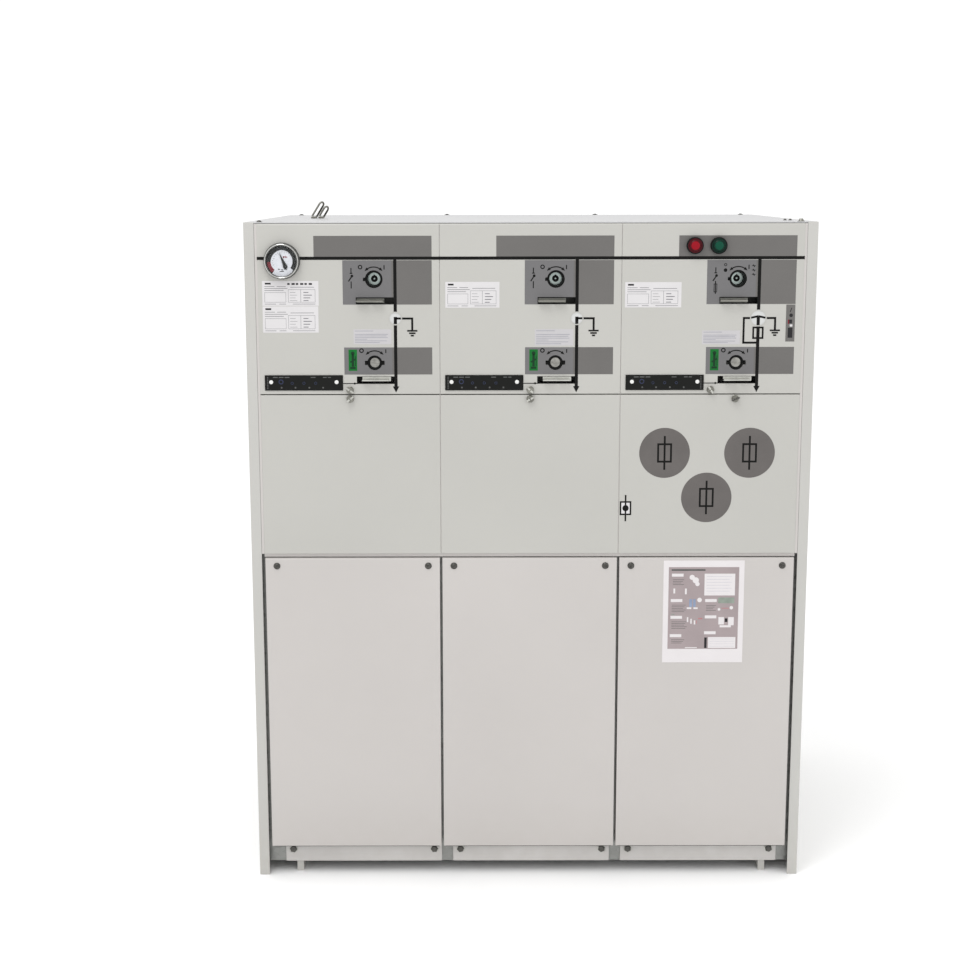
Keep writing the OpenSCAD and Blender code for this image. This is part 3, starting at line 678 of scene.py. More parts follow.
def addTurnMarks(bm, x, z, look, back, ahead, offRing=True):
    # an arc with an arrow head at each end, a ring for off and a bar for on
    addBand(bm, x, z, back, ahead, mark["arcRadius"] - mark["arcWidth"] / 2,
            mark["arcRadius"] + mark["arcWidth"] / 2, mark["from"], mark["to"] - mark["from"])
    for side in (-1, 1):
        angle = math.radians(90 - side * (90 - mark["from"] + 6))
        tipX = x + mark["arcRadius"] * math.cos(angle)
        tipZ = z + mark["arcRadius"] * math.sin(angle)
        addPoint(bm, tipX, tipZ, back, ahead - 0.02, mark["head"], mark["headHalf"], -side * 50)
    if offRing:
        addBand(bm, x + look["offX"], z + look["offZ"], back, ahead, look["ring"] - look["ringWidth"],
                look["ring"])
    addBlock(bm, x + look["onX"] - mark["stroke"] / 2, x + look["onX"] + mark["stroke"] / 2, ahead, back,
             z + look["onZ"] - look["height"] / 2, z + look["onZ"] + look["height"] / 2)


def addSwitchSign(bm, x, look, back, ahead, withFuse):
    # the drawing of a three-position switch beside the upper lever hole
    top, foot = look["top"], look["foot"]
    x += look["x"]
    stroke = mark["stroke"]
    addStroke(bm, x, top, x, top - 9, stroke, back, ahead)
    addStroke(bm, x - 2.5, top - 10, x + 2.5, top - 10, stroke, back, ahead)
    addDisc(bm, x + 1.5, top - 15, back, ahead - 0.02, 2.6, steps=20)
    addStroke(bm, x + 3, top - 13, x - 5, top - 25, stroke * 1.2, back, ahead)
    addStroke(bm, x, top - 25, x, foot, stroke, back, ahead)
    if withFuse:
        addFrame(bm, x - 3.2, x + 3.2, foot - 8, foot + 8, 1.2, back, ahead - 0.03)
        addStroke(bm, x, foot, x, foot - 11, stroke, back, ahead)


for i in modules:
    upper, lower = middle(f"upper_shaft_{i}"), middle(f"lower_shaft_{i}")
    back, ahead = faceY + 0.05, faceY - mark["lift"]
    bm = bmesh.new()
    addTurnMarks(bm, upper.x, upper.z, letters, back, ahead, offRing=i != fuseModule)
    addTurnMarks(bm, lower.x, lower.z, lowerLetters, back, ahead)
    # keyways of the operating levers beside the holes, drawn as black print: painted shade standing in for
    # the open notches
    for spot, reach, sides in ((upper, notchShade["upperReach"], (-1,)), (lower, notchShade["lowerReach"], (-1, 1))):
        for side in sides if (i != fuseModule or spot is lower) else ():
            inner, outer = spot.x + side * (reach - notchShade["in"]), spot.x + side * (reach + notchShade["out"])
            addBlock(bm, *sorted((inner, outer)), ahead, back,
                     spot.z - mark["lug"] / 2 - 1, spot.z + mark["lug"] / 2 - 1)
    addSwitchSign(bm, moduleX[i], switchSign, back, ahead, i == fuseModule)
    if i == fuseModule:
        addDisc(bm, upper.x + fuseMarks["x"], upper.z + fuseMarks["dotZ"], back, ahead, fuseMarks["dot"],
                steps=24)
        addBand(bm, upper.x + fuseMarks["x"], upper.z + fuseMarks["ringZ"], back, ahead, *fuseMarks["ring"])
        for rise in fuseMarks["signZ"]:
            x, z = upper.x + fuseMarks["signX"], upper.z + rise
            addStroke(bm, x - 1.5, z + 2.4, x + 1.5, z - 2.4, 1.4, back, ahead)
            addStroke(bm, x - 3.5, z, x + 3.5, z, 1.2, back, ahead - 0.02)
    makePiece(f"turn_marks_{i}", bm, blackPrint)

    x = moduleX[i]
    bm = bmesh.new()
    addBlock(bm, x + greenTag["x0"], x + greenTag["x1"], faceY - greenTag["lift"], back, greenTag["z0"],
             greenTag["z1"])
    makePiece(f"green_tag_{i}", bm, greenLabel)
    bm = bmesh.new()
    tagMiddle = x + (greenTag["x0"] + greenTag["x1"]) / 2
    tagAhead = faceY - greenTag["lift"] - 0.06
    left, right = tagMiddle - tagDrawing["half"], tagMiddle + tagDrawing["half"]
    dotZ, dotRadius = tagDrawing["dot"]
    addDisc(bm, tagMiddle, dotZ, back, tagAhead, dotRadius, steps=24)
    barHalf, barFoot, barTop = tagDrawing["bar"]
    addBlock(bm, tagMiddle - barHalf, tagMiddle + barHalf, tagAhead, back, barFoot, barTop)
    slantLeft, slantRight, slantWidth = tagDrawing["slant"]
    addStroke(bm, left, slantLeft, right, slantRight, slantWidth, back, tagAhead - 0.02)
    addBlock(bm, left, right, tagAhead - 0.04, back, *tagDrawing["foot"])
    sideFoot, sideTop, sideWidth = tagDrawing["side"]
    addStroke(bm, right, sideFoot, right, sideTop, sideWidth, back, tagAhead - 0.06)
    makePiece(f"green_tag_drawing_{i}", bm, greenInk)
print("lever hole marks made")


# shafts, padlock plates

socket = {"bore": 6.4, "pin": 2.1}
for i in modules:
    softened(f"upper_shaft_{i}", f"upper_shaft_{i}_turned", 0.8, turnedSteel,
             f"switch_shaft_{i}", steps=2)
    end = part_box(f"upper_shaft_{i}")[0].y / mm
    spot = middle(f"upper_shaft_{i}")
    bm = bmesh.new()
    addBand(bm, spot.x, spot.z, end + 1.0, end - 0.12, socket["pin"] - 0.1, socket["bore"])
    makePiece(f"upper_shaft_{i}_socket", bm, blackPlastic, f"switch_shaft_{i}")
    bm = bmesh.new()
    addLathe(bm, spot.x, end, spot.z, [(0, -1.6), (socket["pin"], -1.6), (socket["pin"], -0.5),
                                       (socket["pin"] - 0.7, 0.2), (0, 0.2)], steps=24)
    makePiece(f"upper_shaft_{i}_pin", bm, turnedSteel, f"switch_shaft_{i}")
    softened(f"lower_shaft_{i}", f"lower_shaft_{i}_turned", 1.0, facedSteel,
             f"earthing_shaft_{i}", steps=3)
softened("padlock_plates_upper", "padlock_plates_upper_blades", 0.5, dullZinc, steps=2)
softened("padlock_plates_lower", "padlock_plates_lower_blades", 0.5, zinc, steps=2)

# black bushes that show round the shafts in the lever holes
bush = {"upperOuter": 16.2, "upperInner": 12.3, "lowerOuter": 13.8, "lowerInner": 9.9, "depth": 17.0,
        "lowerDepth": 12.0, "set": 0.8}
bm = bmesh.new()
for i in modules:
    upper, lower = middle(f"upper_shaft_{i}"), middle(f"lower_shaft_{i}")
    for spot, outer, inner, depth in ((upper, bush["upperOuter"], bush["upperInner"], bush["depth"]),
                                      (lower, bush["lowerOuter"], bush["lowerInner"], bush["lowerDepth"])):
        front = -bush["set"]
        addLathe(bm, spot.x, faceY, spot.z, [(inner, -depth), (outer, -depth), (outer, front - 0.6),
                                             (outer - 0.6, front), (inner + 1.0, front), (inner, front - 1.0),
                                             (inner, -depth)], steps=56)
makePiece("lever_hole_bushes", bm, blackPlastic)

# steel behind the padlock blades in their slots; x and z from the slot's lower left corner
slotBack = {"width": 71.0, "height": 13.0, "x": 13.0, "upperZ": 1128.5, "lowerZ": 980.5, "set": 2.2,
            "thick": 1.2, "upper": (1.5, 53.0, 2.6, 11.0), "lower": (10.5, 64.0, 3.6, 12.2)}
for row, finish in (("upper", slotSteel), ("lower", zinc)):
    bm = bmesh.new()
    left, right, foot, head = slotBack[row]
    z = slotBack[f"{row}Z"]
    for i in modules:
        x = moduleX[i] + slotBack["x"]
        verts = addBlock(bm, x + left, x + right, faceY + slotBack["set"], faceY + slotBack["set"]
                         + slotBack["thick"], z + foot, z + head)
        roundEdges(bm, verts, 0.4, 2)
    makePiece(f"padlock_slot_backs_{row}", bm, finish)
print("shafts and plates made")


# voltage indicators

voltagePlate = {"x": -86.5, "half": 73.5, "dotInset": 12.0, "dotZ": 983.0, "stripeInset": 5.5,
                "stripe": range(971, 994, 3), "lowRow": 972.5, "lowDots": (-42, -16, 10, 36),
                "markRow": 992.0, "marks": ((-58, -49), (-47, -38), (-36, -27), (13, 22), (36, 43), (45, 51)),
                "sockets": ((-43, 983.5, 3.0, 4.6), (-22, 981, 1.8, 2.6), (0, 981, 1.8, 2.6),
                            (22, 981, 1.8, 2.6))}
softened("voltage_indicators", "voltage_indicator_plates", 0.7, plateBlack, steps=2)
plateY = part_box("voltage_indicators")[0].y / mm
for i in modules:
    plateX = moduleX[i] + voltagePlate["x"]
    back, ahead = plateY + 0.05, plateY - 0.15
    bm = bmesh.new()
    for side in (-1, 1):
        x = plateX + side * (voltagePlate["half"] - voltagePlate["dotInset"])
        addLathe(bm, x, plateY, voltagePlate["dotZ"], [(0, -0.05), (3.7, -0.05), (3.7, 0.5), (3.2, 0.9),
                                                       (2.0, 1.1), (0, 1.15)], steps=28)
    stripeSide = 1 if i == fuseModule else -1
    stripeX = plateX + stripeSide * (voltagePlate["half"] - voltagePlate["stripeInset"])
    makePiece(f"voltage_plate_caps_{i}", bm, whitePlastic)
    bm = bmesh.new()
    for z in voltagePlate["stripe"]:
        addBlock(bm, stripeX - 1, stripeX + 1, ahead, back, z - 0.9, z + 0.9)
    for x in voltagePlate["lowDots"]:
        addDisc(bm, plateX + x, voltagePlate["lowRow"], back, ahead, 1.7, steps=16)
    for x0, x1 in voltagePlate["marks"]:
        addBlock(bm, plateX + x0, plateX + x1, ahead, back, voltagePlate["markRow"] - 0.9,
                 voltagePlate["markRow"] + 0.9)
    makePiece(f"voltage_plate_marks_{i}", bm, faintInk)
    bm = bmesh.new()
    for x, z, inner, outer in voltagePlate["sockets"]:
        addBand(bm, plateX + x, z, back, ahead, inner, outer)
    makePiece(f"voltage_plate_sockets_{i}", bm, socketInk)
print("voltage indicators made")

# printed line from the voltage indicator to the main line
tapLine = {"x": -13.0, "z": 980.1, "width": 1.6, "dotX": 9.0, "dot": 2.0}
bm = bmesh.new()
for i in modules:
    x, z = moduleX[i], tapLine["z"]
    addBlock(bm, x + tapLine["x"], x + line["x"] - line["width"] / 2, faceY - 0.2, faceY + 0.05,
             z - tapLine["width"] / 2, z + tapLine["width"] / 2)
    addDisc(bm, x + tapLine["dotX"], z, faceY + 0.05, faceY - 0.22, tapLine["dot"], steps=20)
makePiece("indicator_lines", bm, blackPrint)


# gauge

gauge = {"bandOuter": 28.2, "bandInner": 20.5, "faceShift": (3.0, -2.4), "faceRadius": 23.2, "needle": 27.5,
         "tail": 7.0, "lean": -23.0, "black": (-38, 224), "red": (184, 47), "foot": (232, 84),
         "pipeEnd": -149.6}
tick = {"count": 19, "start": -30.0, "pitch": 12.5, "near": 18.6, "longNear": 16.8, "far": 20.6,
        "width": 0.45}
caseLow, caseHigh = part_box("gauge_case")
gaugeX, gaugeZ = middle("gauge_case").x, middle("gauge_case").z
rim = (caseHigh.x - caseLow.x) / mm / 2
proud = faceY - caseLow.y / mm
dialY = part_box("gauge_dial")[1].y / mm - 2.0  # the dial's face; its pivot stands in front of it
bm = bmesh.new()
addLathe(bm, gaugeX, faceY, gaugeZ, [(0, 3.4), (29, 3.4), (29, proud - 2.2), (29.3, proud - 1.0),
                                     (30.1, proud - 0.2), (30.9, proud), (31.6, proud - 0.5),
                                     (32.0, proud - 1.6), (32.0, 1.2), (28, 0.3), (28, -35), (4, -35),
                                     (4, gauge["pipeEnd"]), (0, gauge["pipeEnd"])], steps=72)
makePiece("gauge_bezel", bm, polished, replaced=("gauge_case",))
# dark rings round the outside of the bezel and just inside its lip: painted shade that outlines the polished
# bezel
bm = bmesh.new()
addLathe(bm, gaugeX, faceY, gaugeZ, [(31.8, 1.0), (rim + 0.7, 1.0), (rim + 0.9, 2.4), (rim, 3.2),
                                     (rim, proud - 4.4), (rim - 0.4, proud - 3.4), (31.8, proud - 3.0),
                                     (31.8, 1.0)], steps=72)
addLathe(bm, gaugeX, faceY, gaugeZ, [(28.2, proud - 3.2), (29.2, proud - 3.2), (29.5, proud - 1.4),
                                     (29.0, proud - 1.0), (28.2, proud - 1.6), (28.2, proud - 3.2)], steps=72)
makePiece("gauge_shade_rings", bm, darkSteel)
dress("gauge_dial", blackPrint)
dress("gauge_glass", clearGlass)

back = dialY + 0.02
bm = bmesh.new()
addBand(bm, gaugeX, gaugeZ, back, dialY - 0.22, gauge["bandInner"], gauge["bandOuter"], *gauge["black"])
makePiece("gauge_black_band", bm, blackPrint)
bm = bmesh.new()
addBand(bm, gaugeX, gaugeZ, back, dialY - 0.30, gauge["bandInner"], gauge["bandOuter"] - 0.8, *gauge["red"])
makePiece("gauge_red_band", bm, redInk)
bm = bmesh.new()
faceX, faceZ = gaugeX + gauge["faceShift"][0], gaugeZ + gauge["faceShift"][1]
addDisc(bm, faceX, faceZ, back, dialY - 0.16, gauge["faceRadius"], steps=64)
addBand(bm, gaugeX, gaugeZ, back, dialY - 0.10, gauge["bandInner"], gauge["bandOuter"] + 0.3, *gauge["foot"])
makePiece("gauge_face", bm, dialWhite)
bm = bmesh.new()
for k in range(tick["count"]):
    angle = math.radians(tick["start"] + k * tick["pitch"])
    near = tick["near"] if k % 3 else tick["longNear"]
    across, up = math.cos(angle), math.sin(angle)
    addStroke(bm, faceX + near * across, faceZ + near * up, faceX + tick["far"] * across,
              faceZ + tick["far"] * up, tick["width"], back, dialY - 0.2)
for x0, x1, z in ((-7, -3, -15), (-1, 3, -16), (5, 8, -15), (-4, 4, -19)):
    addBlock(bm, gaugeX + x0, gaugeX + x1, dialY - 0.2, back, gaugeZ + z - 0.8, gaugeZ + z + 0.8)
makePiece("gauge_ticks", bm, darkInk)
bm = bmesh.new()
for x0, x1, z0, z1 in ((3, 6, 6, 9), (7, 8.4, 5.5, 9.5), (9.2, 10.6, 6, 8.5)):
    addBlock(bm, gaugeX + x0, gaugeX + x1, dialY - 0.2, back, gaugeZ + z0, gaugeZ + z1)
makePiece("gauge_red_mark", bm, redInk)

pivot = next(j for j in frame["joints"] if j["name"] == "gauge_needle_turn")
pivotX, pivotZ = pivot["pos_m"][0] / mm, pivot["pos_m"][2] / mm
needleLow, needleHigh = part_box("gauge_needle")
needleBack, needleFront = needleHigh.y / mm, needleLow.y / mm
bm = bmesh.new()
addPoint(bm, 0, gauge["needle"], needleBack, needleFront, gauge["needle"], 3.6, 180)
addPoint(bm, 0, -gauge["tail"], needleBack, needleFront, gauge["tail"], 2.6, 0)
tilt = placedAt(pivotX, 0, pivotZ) @ turnedBy(gauge["lean"], "Y")
bmesh.ops.transform(bm, matrix=tilt, verts=bm.verts)
addLathe(bm, pivotX, needleBack, pivotZ, [(0, 0), (4.0, 0), (4.2, 0.3), (4.2, 0.9), (3.6, 1.3), (0, 1.4)],
         steps=32)
makePiece("gauge_pointer", bm, blackPrint, "needle", ("gauge_needle",))
print("gauge made")


# push buttons

softened("button_bezels", "button_bezel_rings", 1.2, blackPlastic, steps=3)
collar = {"room": 0.35, "width": 1.9, "proud": 0.35}
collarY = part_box("button_bezels")[0].y / mm
buttons = (("red", redPlastic, darkRed), ("green", greenPlastic, darkGreen))
lens = {"radius": 8.0}
for colour, bright, dark in buttons:
    low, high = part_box(f"{colour}_button")
    x, z, radius = middle(f"{colour}_button").x, middle(f"{colour}_button").z, (high.x - low.x) / mm / 2
    capFront, capBack = faceY - low.y / mm, faceY - high.y / mm
    slot, body = f"{colour}_plastic", f"{colour}_push_button"
    bm = bmesh.new()
    addLathe(bm, x, faceY, z, [(0, capBack), (radius, capBack), (radius, capFront - 3.4),
                               (radius - 0.4, capFront - 2.6), (radius - 1.2, capFront - 1.8),
                               (radius - 2.2, capFront - 1.2), (lens["radius"] + 0.4, capFront - 0.8),
                               (lens["radius"], capFront - 1.2), (0, capFront - 1.2)], steps=48)
    makePiece(f"{colour}_cap", bm, dark, body, (f"{colour}_button",))
    bm = bmesh.new()
    addLathe(bm, x, faceY, z, [(0, capFront - 1.6), (lens["radius"] - 0.1, capFront - 1.6),
                               (lens["radius"] - 0.1, capFront - 0.9), (lens["radius"] - 1.0, capFront - 0.4),
                               (lens["radius"] - 3, capFront - 0.1), (0, capFront)], steps=48)
    makePiece(f"{colour}_lens", bm, bright, body)
    bm = bmesh.new()
    addBand(bm, x, z, collarY + 0.5, collarY - collar["proud"], radius + collar["room"],
            radius + collar["room"] + collar["width"])
    makePiece(f"{colour}_collar", bm, dark)
print("push buttons made")


# screws

captive = {"headRadius": 7.0, "headLength": 9.0, "shank": 3.0, "wing": 8.0, "wingHeight": 4.2}
cableScrew = {"inset": 22.0, "below": 15.0, "radius": 5.0, "height": 3.2, "washer": 6.6}
stripScrew = {"inset": 15.0, "below": 11.5, "radius": 7.2, "height": 4.8, "washer": 8.4, "washerThick": 1.4}


def addKnurledHead(bm, x, z, y, look):
    # a captive screw's head with a grooved rim
    addLathe(bm, x, y, z, [(0, -18), (look["shank"], -18), (look["shank"], -0.5),
                           (look["headRadius"] - 0.8, -0.5), (look["headRadius"], 0.2),
                           (look["headRadius"], 1.6), (look["headRadius"] - 0.9, 2.2), (0, 2.2)], steps=32)
    rimVerts = addDisc(bm, x, z, y - 1.2, y - 6.4, look["headRadius"] - 0.5, look["headRadius"] - 1.1,
                       steps=26)
    sides = {f for v in rimVerts for f in v.link_faces if len(f.verts) == 4}
    bmesh.ops.inset_individual(bm, faces=list(sides), thickness=0.18 * mm, depth=-0.35 * mm)


def addWings(bm, x, z, y, look, turn):
    # the two wings a captive screw is turned by
    spot = placedAt(x, 0, z) @ turnedBy(turn, "Y")
    for side in (-1, 1):
        wing = bmesh.new()
        verts = addBlock(wing, *sorted((side * 0.6, side * look["wing"])), y - look["headLength"], y - 6.2,
                         -look["wingHeight"] / 2, look["wingHeight"] / 2)
        for v in verts:
            if abs(v.co.x) > 2 * mm:
                v.co.z = v.co.z * 0.8 + side * 0.8 * mm
        roundEdges(wing, verts, 1.1, 3)
        bmesh.ops.transform(wing, matrix=spot, verts=wing.verts)
        pourInto(bm, wing)


def addPanHead(bm, x, z, y, look):
    # a washer and a round head with a raised ring round a hollow in its top
    addLathe(bm, x, y, z, [(0, -1), (look["washer"], -1), (look["washer"], 0.6), (look["washer"] - 0.4, 0.9),
                           (0, 0.9)], steps=28)
    top = look["height"]
    addLathe(bm, x, y, z, [(0, 0.5), (look["radius"], 0.5), (look["radius"], top * 0.55),
                           (look["radius"] * 0.8, top * 0.86), (look["radius"] * 0.45, top),
                           (look["radius"] * 0.3, top - 0.9), (0, top - 1.0)], steps=28)


def addHexHead(bm, washers, x, z, y, look, turn):
    addLathe(washers, x, y, z, [(0, -1), (look["washer"], -1), (look["washer"], look["washerThick"] - 0.3),
                                (look["washer"] - 0.3, look["washerThick"]), (0, look["washerThick"])],
             steps=32)
    addDisc(bm, x, z, y - look["washerThick"] + 0.2, y - look["height"] + 1, look["radius"], steps=6,
            turn=turn)
    addDisc(bm, x, z, y - look["height"] + 1, y - look["height"], look["radius"], look["radius"] - 1.2,
            steps=6, turn=turn)


# the heads get darker steel and the wings bright zinc: painted shade on the heads and painted highlight on
# the wings of what is one metal part
shadedHeads, wings, fuseWings = bmesh.new(), bmesh.new(), bmesh.new()
for i in modules:
    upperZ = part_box(f"upper_panel_{i}")[0].z / mm + 7.5
    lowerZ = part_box(f"middle_cover_{i}")[1].z / mm - 7.5
    lowerX = moduleX[i] + (47 if i == fuseModule else 0)
    addKnurledHead(shadedHeads, moduleX[i], upperZ, faceY, captive)
    addWings(wings, moduleX[i], upperZ, faceY, captive, 28 + 11 * i)
    addKnurledHead(shadedHeads, lowerX, lowerZ, faceY, captive)
    addWings(fuseWings if i == fuseModule else wings, lowerX, lowerZ, faceY, captive, -42 + 9 * i)
makePiece("captive_screw_heads_shaded", shadedHeads, wireSteel, replaced=("captive_screws",), sharp=28)
makePiece("captive_screw_wings_highlit", wings, zinc, sharp=28)
makePiece("fuse_cover_screw_wings", fuseWings, boltSteel, sharp=28)

bm = bmesh.new()
for i in modules:
    low, high = (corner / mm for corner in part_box(f"cable_cover_{i}"))
    for x in (low.x + cableScrew["inset"], high.x - cableScrew["inset"]):
        addPanHead(bm, x, high.z - cableScrew["below"], cableY, cableScrew)
makePiece("cable_cover_screws", bm, boltSteel)

bm, washers = bmesh.new(), bmesh.new()
stripLow, stripHigh = (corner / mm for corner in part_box("base_strips"))
stripWidth = 310
for i in modules:
    x0 = stripLow.x + (i - 1) * (stripHigh.x - stripLow.x - stripWidth) / 2
    for k, x in enumerate((x0 + stripScrew["inset"], x0 + stripWidth - stripScrew["inset"])):
        addHexHead(bm, washers, x, stripHigh.z - stripScrew["below"], stripY, stripScrew, 20 * i + 13 * k)
makePiece("base_strip_bolts", bm, boltSteel, sharp=28)
makePiece("base_strip_washers", washers, zinc)

roofScrew = {"radius": 4.2, "tip": 2.52, "height": 2.6, "washer": 6.0, "washerAt": 0.4, "headAt": 0.8,
             "inset": 26.0}
plugScrew = {**roofScrew, "radius": 3.0, "tip": 1.8, "height": 2.2, "washer": 3.6}
roofCap = {**roofScrew, "radius": 5.4, "tip": 3.24, "height": 4.6, "washer": 6.6}
sideScrew = {**roofScrew, "washerAt": 0.3, "headAt": 0.6, "inset": 34.0, "first": 90.0, "pitch": 280.0,
             "count": 5}
rearScrew = {**roofScrew, "tip": 2.6, "height": 2.4, "washerAt": 0.0, "headAt": 0.3, "inset": 30.0,
             "edge": 14.0}
middleScrewX = (-170, 170)  # the roof's and the rear cover's screws between the corners


def addScrew(bm, place, look):
    # a washer and a pan head along the place's own z
    headMiddle = look["headAt"] + look["height"] / 2
    for wide, narrow, depth, rise in ((look["washer"], look["washer"], 1, look["washerAt"]),
                                      (look["radius"], look["tip"], look["height"], headMiddle)):
        bmesh.ops.create_cone(bm, cap_ends=True, segments=28, radius1=wide * mm, radius2=narrow * mm,
                              depth=depth * mm, matrix=place @ placedAt(0, 0, rise))


bm = bmesh.new()
roofLow, roofHigh = (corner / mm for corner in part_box("roof_plate"))
addScrew(bm, placedAt(roofLow.x + roofScrew["inset"], roofLow.y + 11, roofZ), roofScrew)
for x in (roofHigh.x - 40, roofHigh.x - 30):
    addScrew(bm, placedAt(x, roofLow.y + 110, roofZ), plugScrew)
for x in (roofLow.x + roofScrew["inset"], *middleScrewX, roofHigh.x - roofScrew["inset"]):
    addScrew(bm, placedAt(x, roofHigh.y - 12, roofZ), {**roofScrew, "height": 1.6})
makePiece("roof_screws", bm, boltSteel)
bm = bmesh.new()
addScrew(bm, placedAt(roofHigh.x - 28, roofLow.y + 11, roofZ), roofCap)
makePiece("roof_cap", bm, dullZinc)

bm = bmesh.new()
for side, node in ((-1, "side_plate_left"), (1, "side_plate_right")):
    low, high = (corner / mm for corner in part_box(node))
    x = low.x if side < 0 else high.x
    for y in (low.y + sideScrew["inset"], high.y - sideScrew["inset"]):
        for k in range(sideScrew["count"]):
            z = sideScrew["first"] + k * sideScrew["pitch"]
            addScrew(bm, placedAt(x, y, z) @ turnedBy(90 * side, "Y"), sideScrew)
makePiece("side_plate_screws", bm, boltSteel)

bm = bmesh.new()
rearLow, rearHigh = (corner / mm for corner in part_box("rear_cover"))
for x in (rearLow.x + rearScrew["inset"], *middleScrewX, rearHigh.x - rearScrew["inset"]):
    for z in (rearLow.z + rearScrew["edge"], (rearLow.z + rearHigh.z) / 2, rearHigh.z - rearScrew["edge"]):
        addScrew(bm, placedAt(x, rearHigh.y, z) @ turnedBy(-90, "X"), rearScrew)
makePiece("rear_cover_screws", bm, boltSteel)

wire = {"radius": 2.0, "bend": 6.5, "lean": 32.0, "turn": 54.0, "foot": 4.0, "pitch": 15.0,
        "heights": (33.0, 24.0)}
loopLow, loopHigh = (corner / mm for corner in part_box("lifting_loops"))
loopY = (loopLow.y + loopHigh.y) / 2
bm = bmesh.new()
for k, height in enumerate(wire["heights"]):
    x = loopLow.x + 4.5 + k * wire["pitch"]
    leg = height / math.cos(math.radians(wire["lean"])) - wire["bend"] - wire["radius"] - wire["foot"] / 2
    loop = bmesh.new()
    for side in (-1, 1):
        bmesh.ops.create_cone(loop, cap_ends=True, segments=20, radius1=wire["radius"] * mm,
                              radius2=wire["radius"] * mm, depth=leg * mm,
                              matrix=placedAt(side * wire["bend"], 0, leg / 2))
    ring = bmesh.ops.create_circle(loop, segments=20, radius=wire["radius"] * mm,
                                   matrix=placedAt(wire["bend"], 0, leg))["verts"]
    ringEdges = list({e for v in ring for e in v.link_edges if e.other_vert(v) in set(ring)})
    bmesh.ops.spin(loop, geom=ring + ringEdges, cent=Vector((0, 0, leg)) * mm, axis=(0, -1, 0), angle=math.pi,
                   steps=20)
    bmesh.ops.remove_doubles(loop, verts=loop.verts, dist=0.02 * mm)
    bmesh.ops.transform(loop, verts=loop.verts, matrix=placedAt(x, loopY, roofZ + wire["foot"] / 2 + 1)
                        @ turnedBy(wire["lean"], "Y") @ turnedBy(wire["turn"], "Z"))
    verts = addBlock(loop, x - 5.4, x + 5.4, loopY - 9.5, loopY + 9.5, roofZ + 0.1, roofZ + wire["foot"])
    roundEdges(loop, verts, 0.8, 2)
    pourInto(bm, loop)
makePiece("lifting_loops_wire", bm, wireSteel, replaced=("lifting_loops",), sharp=50)
print("screws made")


# stickers: x from a module's middle, z from the floor

ratingPlates = {1: ((-161, -56, 1126, 1172), (-161, -57, 1076, 1125)), 2: ((-159, -58, 1122, 1170),),
                3: ((-163, -58, 1122, 1169),)}
textLabels = {1: (8, 79, 1054, 1082), 2: (8, 80, 1051, 1082), 3: (-18, 53, 1053, 1079)}
paperLift = 0.22


def addRatingLines(bm, heading, box, rows):
    # ruled lines, a boxed table and a short dark heading bar
    x0, x1, z0, z1 = box
    w, h = x1 - x0, z1 - z0
    back, ahead = faceY + 0.05, faceY - paperLift - 0.05
    for left, right, level in rows:
        addBlock(bm, x0 + left * w, x0 + right * w, ahead, back, z0 + level * h - 0.45, z0 + level * h + 0.45)
    addFrame(bm, x0 + 0.04 * w, x0 + 0.42 * w, z0 + 0.14 * h, z0 + 0.54 * h, 0.5, back, ahead)
    addFrame(bm, x0 + 0.46 * w, x0 + 0.94 * w, z0 + 0.14 * h, z0 + 0.66 * h, 0.5, back, ahead - 0.02)
    addBlock(bm, x0 + 0.68 * w, x0 + 0.68 * w + 0.6, ahead, back, z0 + 0.14 * h, z0 + 0.66 * h)
    for k in range(4):
        level = z0 + (0.21 + 0.11 * k) * h
        addBlock(bm, x0 + 0.73 * w, x0 + (0.82 + 0.03 * (k % 3)) * w, ahead, back, level - 0.7, level + 0.7)
        addBlock(bm, x0 + 0.49 * w, x0 + (0.62 - 0.03 * (k % 2)) * w, ahead, back, level - 0.3, level + 0.3)
    addBlock(heading, x0 + 0.05 * w, x0 + 0.155 * w, ahead, back, z0 + 0.86 * h, z0 + 0.93 * h)


rows = [(0.04, 0.22, 0.78), (0.26, 0.42, 0.78), (0.04, 0.45, 0.70), (0.04, 0.38, 0.62), (0.50, 0.92, 0.75),
        (0.04, 0.24, 0.07), (0.30, 0.42, 0.07), (0.54, 0.94, 0.07)]
for i in modules:
    plates, rules, headings = bmesh.new(), bmesh.new(), bmesh.new()
    for x0, x1, z0, z1 in ratingPlates[i]:
        box = (moduleX[i] + x0, moduleX[i] + x1, z0, z1)
        addBlock(plates, box[0], box[1], faceY - paperLift, faceY + 0.05, z0, z1)
        addRatingLines(rules, headings, box, rows)
    if i == 1:
        x0, x1, z0, z1 = ratingPlates[i][0]
        for k in range(6):
            x = moduleX[i] + x0 + 47 + k * 8
            addBlock(headings, x, x + (6 if k % 2 else 4.5), faceY - paperLift - 0.05, faceY, z1 - 7.2,
                     z1 - 3.8)
    makePiece(f"rating_plates_{i}", plates, stickerPaper)
    makePiece(f"rating_plate_rules_{i}", rules, greyInk)
    makePiece(f"rating_plate_headings_{i}", headings, darkInk)

    x0, x1, z0, z1 = textLabels[i]
    bm = bmesh.new()
    addBlock(bm, moduleX[i] + x0, moduleX[i] + x1, faceY - 0.18, faceY + 0.05, z0, z1)
    makePiece(f"safety_label_{i}", bm, labelPaper)
    bm = bmesh.new()
    for k, share in enumerate((0.52, 0.0, 0.94, 0.9, 0.93, 0.35, 0.9, 0.7)):
        z = z1 - 3.2 - k * (z1 - z0 - 5) / 7.5
        if share:
            addBlock(bm, moduleX[i] + x0 + 2.5, moduleX[i] + x0 + 2.5 + share * (x1 - x0 - 5), faceY - 0.22,
                     faceY, z - 0.55, z + 0.55)
    makePiece(f"safety_label_lines_{i}", bm, paleInk)
print("stickers made")


# fuse symbols on the fuse module's cover

